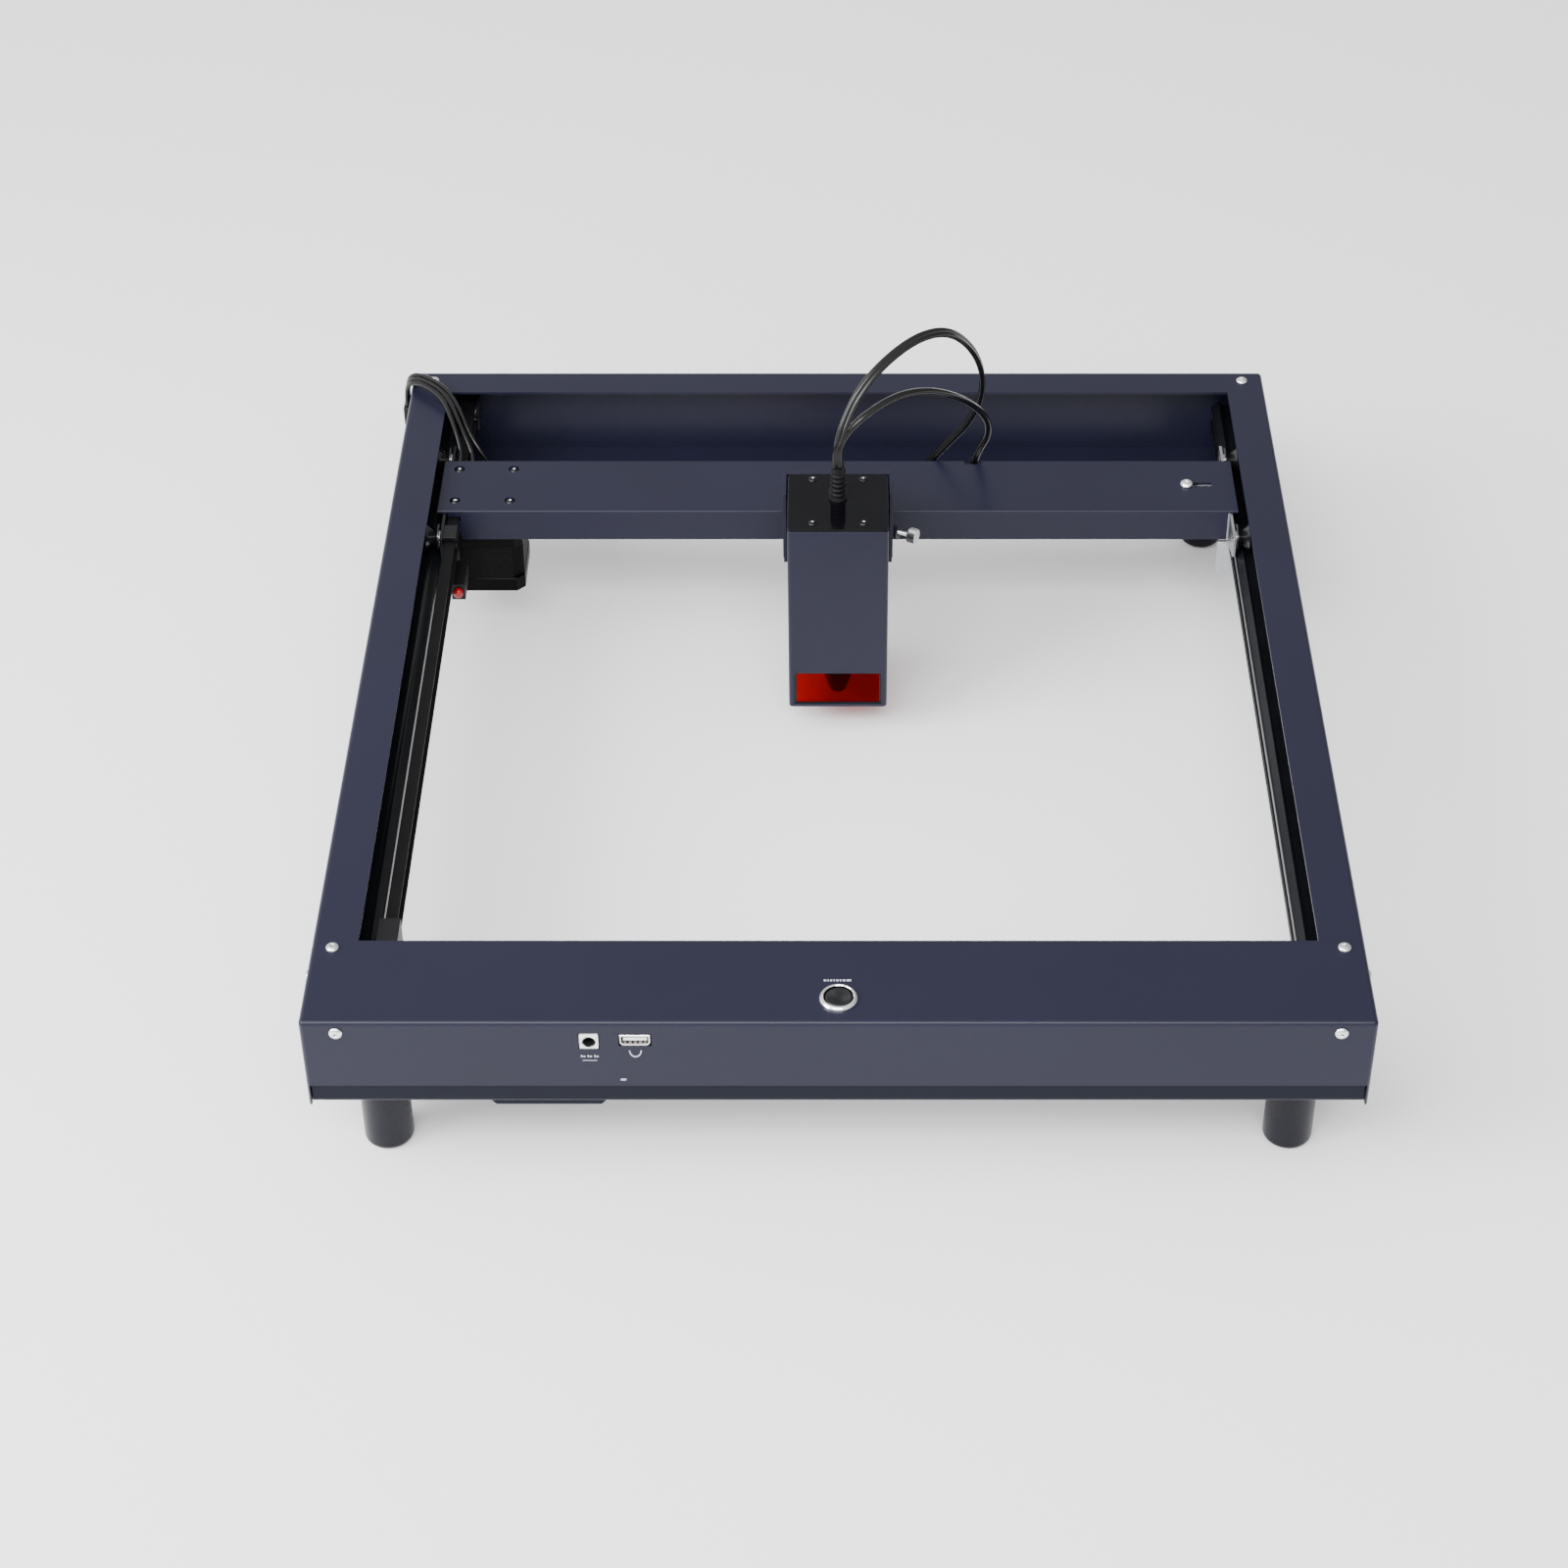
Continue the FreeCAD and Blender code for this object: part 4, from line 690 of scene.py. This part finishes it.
def add_jack():
    """A square barrel socket with a pale face, a dark throat and a centre pin."""
    low, high = corners("dc_jack")
    x, z = (low.x + high.x) / 2, high.z - 4.9
    place = standing((x, low.y, z), -Y)
    model = Model()
    outline = rounded_box(8.8, 8.6, 0.5, 11)
    eighth = (len(outline) + 4) // 8
    hole = circle(3.2, len(outline))
    # the hole's points start beside the outline's first corner, so the skin between them isn't twisted
    hole = hole[-eighth:] + hole[:-eighth]
    levels = [(outline, -14.6), (outline, -0.25), (inset(outline, 0.2), 0), (hole, 0), (hole, -9)]
    model.loft([[(a, b, level) for a, b in ring] for ring, level in levels], JACK_PLASTIC, place)
    model.turn([(3.15, -0.3), (3.15, -9.2), (2.5, -9.2), (2.5, -0.3)], CHIP_BLACK, place, 40, closed=True)
    model.turn([(1, -9), (1, -4.4), (0.7, -4.0), (0.2, -3.9)], PORT_METAL, place, 24)
    model.brick((low.x, low.y + 4.6, low.z), (high.x, high.y, z - 4), CHIP_BLACK)
    model.piece("dc_jack_socket", "frame", ["dc_jack"], "jack_plastic")


def add_usb():
    """A data socket: a folded bright shell with rounded lower corners round a pale tongue."""
    low, high = corners("usb_port")
    x = (low.x + high.x) / 2
    width, height = high.x - low.x - 0.6, 6.6
    z = high.z - 0.3 - height / 2
    place = standing((x, low.y, z), -Y)
    model = Model()

    def socket(grow, radius):
        """An outline with square upper corners and round lower ones."""
        half, rise = width / 2 - grow, height / 2 - grow
        points = [(half, rise), (-half, rise)]
        for centre, start in ((-half + radius, math.pi), (half - radius, 1.5 * math.pi)):
            for step in range(7):
                angle = start + math.pi / 2 * step / 6
                points.append((centre + radius * math.cos(angle), -rise + radius + radius * math.sin(angle)))
        return points

    outer, lip, inner = socket(0, 2.4), socket(0.15, 2.25), socket(0.75, 1.7)
    levels = [(outer, -15), (outer, -0.2), (lip, 0), (inner, 0), (inner, -13)]
    model.loft([[(a, b, level) for a, b in ring] for ring, level in levels], PORT_METAL, place)
    model.brick((x - 5.6, low.y + 0.9, z - 1.0), (x + 5.6, low.y + 13, z + 0.5), JACK_PLASTIC)
    for step in range(4):
        across = x - 3.6 + 2.4 * step
        model.brick((across - 0.5, low.y + 1.9, z - 1.2), (across + 0.5, low.y + 12, z - 0.9), BRASS, 0.05)
    model.brick((low.x, low.y + 4.4, low.z), (high.x, high.y, z - 3), CHIP_BLACK)
    model.piece("usb_socket", "frame", ["usb_port"], "port_metal")


def mark(model, outline, place, thickness=0.06):
    model.slab(outline, -0.01, thickness, PALE_MARK, place, 0.01)


def shifted(outline, x, y):
    return [(a + x, b + y) for a, b in outline]


def add_marks():
    """Small printed signs by the ports and the button: bars and an arc, with no letters."""
    front, _ = corners("frame_shell")
    model = Model()
    jack = middle("dc_jack")
    port = middle("usb_port")
    wall = standing((0, front.y, 0), -Y)
    for step in (-1, 0, 1):
        mark(model, shifted(rounded_box(0.7, 1.5, 0.15, 2), jack.x + 3.1 * step - 0.65, 84.6), wall)
        mark(model, shifted(rounded_box(1.1, 1.0, 0.2, 2), jack.x + 3.1 * step + 0.5, 84.4), wall)
    mark(model, shifted(rounded_box(6.8, 0.4, 0.15, 2), jack.x, 81.8), wall)
    mark(model, shifted(rounded_box(2.7, 1.3, 0.5, 4), -100.8, 69.2), wall)
    arc = []
    for radius, angles in ((3.0, range(180, 361, 10)), (2.4, range(360, 179, -10))):
        arc += [
            (port.x + radius * math.cos(math.radians(a)), 88.3 + 1.5 * radius * math.sin(math.radians(a)))
            for a in angles
        ]
    mark(model, arc, wall)
    top = standing((0, 0, corners("frame_shell")[1].z))
    widths = (1.2, 0.7, 1.0, 0.7, 1.1, 0.8, 1.3, 2.2)
    across = -6.9
    for width in widths:
        mark(model, shifted(rounded_box(width, 1.3, 0.2, 2), across + width / 2, -246.4), top)
        across += width + 0.55
    model.piece("printed_marks", "frame", slot="jack_plastic")


# ---------------------------------------------------------------- motors, pulleys and belts

def chamfered_square(side, chamfer):
    half, cut = side / 2, side / 2 - chamfer
    return [
        (half, -cut), (half, cut), (cut, half), (-cut, half),
        (-half, cut), (-half, -cut), (-cut, -half), (cut, -half),
    ]


def stepper(side, chamfer, length, place, shaft_top):
    """A stepper motor with its shaft along the local Z and its mounting face at height 0."""
    model = Model()
    cap = chamfered_square(side, chamfer)
    stack = chamfered_square(side - 0.5, chamfer + 1.6)
    model.slab(cap, -length, -length + 9, MOTOR_BLACK, place, 0.5)
    sheets = 22
    low, high = -length + 9, -9
    for step in range(sheets):
        base = low + (high - low) * step / sheets
        model.slab(stack, base, base + (high - low) / sheets - 0.06, STACK_BLACK, place, 0.12)
    model.slab(cap, -9, 0, MOTOR_BLACK, place, 0.5)
    boss = [(side * 0.26, -0.1), (side * 0.26, 1.7), (side * 0.25, 2), (4, 2), (4, 1.2), (2.6, 1.2)]
    model.turn(boss, PLATE_METAL, place, 48)
    model.turn([(2.45, 0), (2.45, shaft_top - 0.4), (2.1, shaft_top)], BRIGHT_STEEL, place, 24)
    screw_at = side / 2 - 5.6
    outward = place.to_3x3() @ -Z
    for x in (-screw_at, screw_at):
        for y in (-screw_at, screw_at):
            model.button_head(place @ Vector((x, y, -length)), outward, 2.6, 0.9, BLACK_STEEL)
    return model


def add_x_motor():
    low, high = corners("x_motor")
    side = high.x - low.x
    x, y = (low.x + high.x) / 2, low.y + side / 2
    flange = 77.0
    model = stepper(side, 4.5, flange - low.z - 0.9, standing((x, y, flange)), high.z - flange)
    model.brick((x - 8, y + side / 2 - 1, 41), (x + 8, high.y, 49), JACK_PLASTIC, 0.3)
    model.brick((x - 6.6, high.y - 1.6, 42.4), (x + 6.6, high.y + 0.02, 47.6), CHIP_BLACK, 0.2)
    model.piece("x_motor_case", "gantry", ["x_motor"], "motor_black", crease=25)


def add_y_motor():
    low, high = corners("y_motor")
    side, face = 35.2, -209.0
    _, y, z = middle("y_motor_pulley")
    model = stepper(side, 3, high.x - face - 0.9, standing((face, y, z), -X), face - low.x)
    model.brick((face, y - 14, low.z), (face + 3, y + 14, z - side / 2 + 0.4), PLATE_METAL)
    model.piece("y_motor_case", "frame", ["y_motor"], "motor_black", crease=25)


def toothed_pulley(node, teeth, drum, rim, flange, bore, along, length):
    """A belt pulley: a toothed drum between two thin flanges."""
    low, high = corners(node)
    centre = (low + high) / 2
    start = centre - Vector(along) * (length / 2)
    place = standing(start, along)
    outline = []
    for tooth in range(teeth):
        for share, depth in ((0.0, 0), (0.38, 0), (0.5, 0.7), (0.88, 0.7)):
            angle = math.tau * (tooth + share) / teeth
            outline.append(((drum - depth) * math.cos(angle), (drum - depth) * math.sin(angle)))
    model = Model()
    rings = [[(x, y, level) for x, y in outline] for level in (flange, length - flange)]
    model.loft(rings, PULLEY_METAL, place)
    for base in (0, length - flange):
        top = base + flange
        profile = [(bore, base), (rim - 0.25, base), (rim, base + flange / 2), (rim - 0.25, top), (bore, top)]
        model.turn(profile, PULLEY_METAL, place, 48, closed=True)
    model.piece(node + "_teeth", body_of(node), [node], "pulley_metal", crease=30)


def add_pulleys():
    for node in ("y_motor_pulley", "y_idler_pulley"):
        toothed_pulley(node, 16, 4.9, 6.7, 0.6, 2.5, X, 7.6)
    for node in ("x_motor_pulley", "x_idler_pulley"):
        toothed_pulley(node, 20, 6.2, 8.0, 0.6, 2.5, Z, 8)


def belt(node, axis, radius, name):
    """A flat belt round two pulleys, with teeth on its inner side. The axis is the pulleys'."""
    low, high = corners(node)
    thickness, pitch, tooth = 1.4, 2.0, 0.65
    centre = (low + high) / 2
    if axis == X:
        span_from, span_to = low.y + radius + thickness, high.y - radius - thickness
        upright = Matrix(((0, 0, 1), (1, 0, 0), (0, 1, 0))).to_4x4()
        place = Matrix.Translation((low.x, 0, centre.z)) @ upright
        width = high.x - low.x
    else:
        span_from, span_to = low.x + radius + thickness, high.x - radius - thickness
        place = Matrix.Translation((0, centre.y, low.z))
        width = high.z - low.z
    run = span_to - span_from
    around = math.pi * radius
    total = 2 * run + 2 * around
    steps = round(total / pitch) * 4
    inner, outer = [], []
    for step in range(steps):
        at = total * step / steps
        raised = tooth if step % 4 in (1, 2) else 0.0
        if at < run:
            hub, angle = span_from + at, -math.pi / 2
        elif at < run + around:
            hub, angle = span_to, -math.pi / 2 + (at - run) / radius
        elif at < 2 * run + around:
            hub, angle = span_to - (at - run - around), math.pi / 2
        else:
            hub, angle = span_from, math.pi / 2 + (at - 2 * run - around) / radius
        across, up = math.cos(angle), math.sin(angle)
        reach = radius + 0.7 - raised
        inner.append((hub + across * reach, up * reach))
        reach = radius + thickness
        outer.append((hub + across * reach, up * reach))
    model = Model()
    rings = [[(a, b, 0) for a, b in outer], [(a, b, width) for a, b in outer]]
    rings += [[(a, b, width) for a, b in inner], [(a, b, 0) for a, b in inner]]
    model.loft(rings, BELT_RUBBER, place, closed=True)
    model.piece(name, body_of(node), [node], "belt_rubber", crease=40)


# ---------------------------------------------------------------- gantry

def wheel(node):
    """A V wheel: a black tyre on a sealed bearing."""
    low, high = corners(node)
    centre = (low + high) / 2
    radius, half = (high.z - low.z) / 2, (high.x - low.x) / 2
    place = standing(centre, X)
    rim = 1.0
    groove = radius - (half - rim)
    model = Model()
    tyre = [
        (4.5, -half + 0.3), (5.0, -half), (radius - 0.3, -half), (radius, -half + 0.3),
        (radius, -half + rim - 0.15),
        (radius - 0.15, -half + rim), (groove, 0), (radius - 0.15, half - rim), (radius, half - rim + 0.15),
        (radius, half - 0.3), (radius - 0.3, half), (5.0, half), (4.5, half - 0.3),
    ]
    model.turn(tyre, WHEEL_BLACK, place, 64, closed=True)
    for side in (-1, 1):
        face = side * (half - 0.25)
        sunk = face - side * 0.35
        bearing = [
            (4.5, face), (3.9, face), (3.85, sunk), (3.05, sunk),
            (3.0, face), (2.5, face), (2.5, 0), (4.5, 0),
        ]
        model.turn(bearing, BRIGHT_STEEL, place, 48, closed=True)
    model.piece(node + "_tyre", body_of(node), [node], "wheel_plastic")


def add_axles():
    model = Model()
    for points in solids("wheel_axles"):
        low = Vector([min(point[axis] for point in points) for axis in range(3)])
        high = Vector([max(point[axis] for point in points) for axis in range(3)])
        side = 1 if high.x > 0 else -1
        inner, outer = (low.x, high.x) if side > 0 else (high.x, low.x)
        y, z = (low.y + high.y) / 2, (low.z + high.z) / 2
        place = standing((inner, y, z), X * side)
        length = abs(outer - inner)
        model.turn([(2.0, 0), (2.45, 0.4), (2.45, length - 2.4)], BRIGHT_STEEL, place, 28)
        model.turn([(2.5, 1.65), (4.2, 1.65), (4.2, 2.2), (2.5, 2.2)], BRIGHT_STEEL, place, 28, closed=True)
        model.button_head(place @ Vector((0, 0, length - 2.4)), X * side, 4, 2.4, BRIGHT_STEEL)
    model.piece("wheel_bolts", "gantry", ["wheel_axles"], "bright_steel")


def add_gantry():
    refined("gantry_cover", BEAM_PAINT, 0.6, 3, slot="beam_paint")
    refined("left_carriage_plate", DARK_PLATE, 0.2, slot="plate_metal")
    refined("right_carriage_plate", PLATE_METAL, 0.2, slot="plate_metal")
    refined("x_rail", ANODISED, 0.3, slot="black_anodised")
    refined("y_belt_clamp", BLACK_PLASTIC, 0.3, slot="plate_metal")
    refined("y_switch_body", BLACK_PLASTIC, 0.4, slot="black_plastic")
    refined("cable_clip", BLACK_PLASTIC, 1.2, 4, slot="black_plastic")
    refined("cable_grommet", BLACK_PLASTIC, 1.0, 3, slot="black_plastic")

    model = Model()
    for seat, outward, radius, height in screws("gantry_screws"):
        # Black heads with bright steel sockets: the bright socket is a painted glint.
        model.button_head(seat, outward, radius, height, BLACK_STEEL, 0.38, BRIGHT_STEEL)
    model.piece("gantry_screw_heads", "gantry", ["gantry_screws"], "bright_steel")

    model = Model()
    low, high = corners("x_tension_screw")
    x, y, _ = (low + high) / 2
    seat = corners("gantry_cover")[1].z
    model.turn([(2.45, 0), (2.45, seat - low.z)], BRIGHT_STEEL, standing((x, y, low.z)), 28)
    model.button_head((x, y, seat), Z, (high.x - low.x) / 2, high.z - seat, BRIGHT_STEEL, 0.4)
    model.piece("tension_screw", "gantry", ["x_tension_screw"], "bright_steel")

    plunger_low, plunger_high = corners("y_switch_plunger")
    x, _, z = (plunger_low + plunger_high) / 2
    cap = Model()
    profile = [(2.8, 0), (2.8, 4.2), (2.6, 5.2), (2.0, 5.8), (1.0, 5.98), (0.2, 6)]
    cap.turn(profile, RED_PLASTIC, standing((x, plunger_high.y, z), -Y), 32)
    cap.piece("switch_button", "y_switch_plunger", ["y_switch_plunger"], "red_plastic", crease=60)


# ---------------------------------------------------------------- carriage and laser module

def add_carriage():
    refined("carriage_block", PLATE_METAL, 0.3, slot="plate_metal")
    refined("carriage_plate", HEAD_PAINT, 0.25, slot="head_paint")
    joint = next(joint for joint in frame["joints"] if joint["name"] == "lock_screw_turn")
    model = Model()
    place = standing(Vector(joint["pos_m"]) / MM, Vector(joint["axis"]))
    thread = [(1.3 - 0.14 * (step % 2), 2 + 0.35 * step) for step in range(26)]
    model.turn(thread, BRIGHT_STEEL, place, 20)
    knurls = 22
    grip = []
    for step in range(knurls):
        for share, radius in ((0.0, 4.2), (0.35, 4.2), (0.5, 3.85), (0.85, 3.85)):
            angle = math.tau * (step + share) / knurls
            grip.append((radius * math.cos(angle), radius * math.sin(angle)))
    model.slab(grip, 11, 16, BRIGHT_STEEL, place, 0.3)
    model.turn([(3.0, 15.9), (3.0, 16.0), (1.2, 15.99), (1.0, 15.4)], BRIGHT_STEEL, place, 24)
    model.piece("lock_screw_knob", "lock_screw", ["lock_screw"], "bright_steel")


def add_laser():
    refined("laser_housing", HEAD_PAINT, 0.3, slot="head_paint")
    refined("laser_top_plate", GLOSS_BLACK, 0.35, slot="gloss_black")
    refined("laser_heatsink", FINS, 0.2, slot="black_anodised")
    refined("laser_shield", SHIELD, 0.2, slot="shield_acrylic")
    refined("fan_frame", BLACK_PLASTIC, 0.3, slot="black_plastic")
    refined("cable_plug", BLACK_PLASTIC, 0.2, slot="black_plastic")
    dress(ANODISED, "laser_nozzle")
    add_window_rim()
    model = Model()
    for seat, outward, radius, height in screws("laser_top_screws"):
        # Black heads with bright steel sockets: the bright socket is a painted glint.
        model.button_head(seat, outward, radius, height, BLACK_STEEL, 0.42, BRIGHT_STEEL)
    model.piece("top_plate_screw_heads", "laser_module", ["laser_top_screws"], "bright_steel")
    add_fan_rotor()


def add_window_rim():
    """A thin black gasket that frames the shield inside the housing's window."""
    rim = Model()
    x, _, z = middle("laser_shield")
    outer = rounded_box(51.0, 22.6, 0.4, 3)
    inner = rounded_box(45.8, 20.0, 0.4, 3)
    place = standing((x, 67.5, z - 0.2), -Y)
    levels = [(outer, 0), (outer, 0.5), (inner, 0.5), (inner, 0)]
    rim.loft([[(a, b, level) for a, b in ring] for ring, level in levels], BLACK_PLASTIC, place, closed=True)
    rim.piece("window_rim", "laser_module", slot="black_plastic")


def add_fan_rotor():
    low, high = corners("fan_rotor")
    centre = middle("fan_frame")
    place = standing((centre.x, centre.y, low.z))
    height = high.z - low.z
    model = Model()
    hub = [
        (7.4, 0), (8, 0.6), (8, height - 0.8), (7.2, height),
        (3, height), (2.6, height - 0.3), (0.2, height - 0.3),
    ]
    model.turn(hub, BLACK_PLASTIC, place, 48)
    stations = ((7.6, 50, 7.0, 0), (11, 43, 8.0, 0.10), (14.2, 37, 9.0, 0.22), (17.3, 32, 9.6, 0.36))
    for blade in range(7):
        rings = []
        for radius, pitch, chord, sweep in stations:
            lean = math.radians(pitch)
            along = Vector((0, math.cos(lean), math.sin(lean))) * chord / 2
            thick = Vector((0, -math.sin(lean), math.cos(lean))) * 0.45
            spine = Vector((radius, 0, height / 2))
            ring = [spine + a * along + b * thick for a, b in ((-1, -1), (1, -1), (1, 1), (-1, 1))]
            rings.append([Matrix.Rotation(sweep, 3, "Z") @ point for point in ring])
        model.loft(rings, BLACK_PLASTIC, place @ Matrix.Rotation(math.tau * blade / 7, 4, "Z"))
    model.piece("fan_blades", "fan_rotor", ["fan_rotor"], "black_plastic", crease=45)


# ---------------------------------------------------------------- inside the controller box

def add_board():
    refined("control_board", BOARD_GREEN, 0.15, slot="board_green")


# ---------------------------------------------------------------- floor and light

def add_stage():
    floor = bpy.data.objects.new("floor", bpy.data.meshes.new("floor"))
    mesh = bmesh.new()
    bmesh.ops.create_grid(mesh, x_segments=8, y_segments=8, size=6)
    mesh.to_mesh(floor.data)
    mesh.free()
    bpy.context.scene.collection.objects.link(floor)
    floor.data.materials.append(surface("floor_paper", (0.86, 0.86, 0.87), 0.7, 0.01, 2, 400, 0.02))


def softbox(name, place, target, size, power):
    data = bpy.data.lights.new(name, "AREA")
    data.shape = "RECTANGLE"
    data.size, data.size_y = size
    data.energy = power
    light = bpy.data.objects.new(name, data)
    light.location = place
    light.rotation_euler = (Vector(target) - Vector(place)).to_track_quat("-Z", "Y").to_euler()
    bpy.context.scene.collection.objects.link(light)


def add_light():
    """A pale room, brighter in front and on the left, with three softboxes."""
    world = bpy.data.worlds.new("studio")
    bpy.context.scene.world = world
    world.use_nodes = True
    tree = world.node_tree
    background = tree.nodes["Background"]
    background.inputs["Color"].default_value = (1, 1, 1, 1)
    way = tree.nodes.new("ShaderNodeTexCoord")
    lean = tree.nodes.new("ShaderNodeVectorMath")
    lean.operation = "DOT_PRODUCT"
    lean.inputs[1].default_value = (-0.7, -0.6, 0.2)
    level = tree.nodes.new("ShaderNodeMath")
    level.operation = "ADD"
    level.inputs[1].default_value = 1.3
    tree.links.new(way.outputs["Generated"], lean.inputs[0])
    tree.links.new(lean.outputs["Value"], level.inputs[0])
    tree.links.new(level.outputs["Value"], background.inputs["Strength"])
    softbox("overhead", (-0.9, -0.7, 2.2), (0, 0, 0.1), (1.6, 1.2), 14)
    softbox("left", (-1.5, -0.7, 1.2), (0, 0, 0.1), (1.1, 1.1), 55)
    softbox("over_camera", (-0.2, -1.7, 2.1), (0, 0, 0.1), (1.8, 0.7), 75)


# ---------------------------------------------------------------- assembly

add_camera()
add_leads()
add_stage()
add_light()
add_frame()
add_screws()
add_power_button()
add_jack()
add_usb()
add_marks()
add_board()
add_x_motor()
add_y_motor()
add_pulleys()
belt("y_belt", X, 5.05, "y_belt_loop")
belt("x_belt", Z, 6.35, "x_belt_loop")
for name in sorted(nodes):
    if name.endswith("_wheel"):
        wheel(name)
add_axles()
add_gantry()
add_carriage()
add_laser()
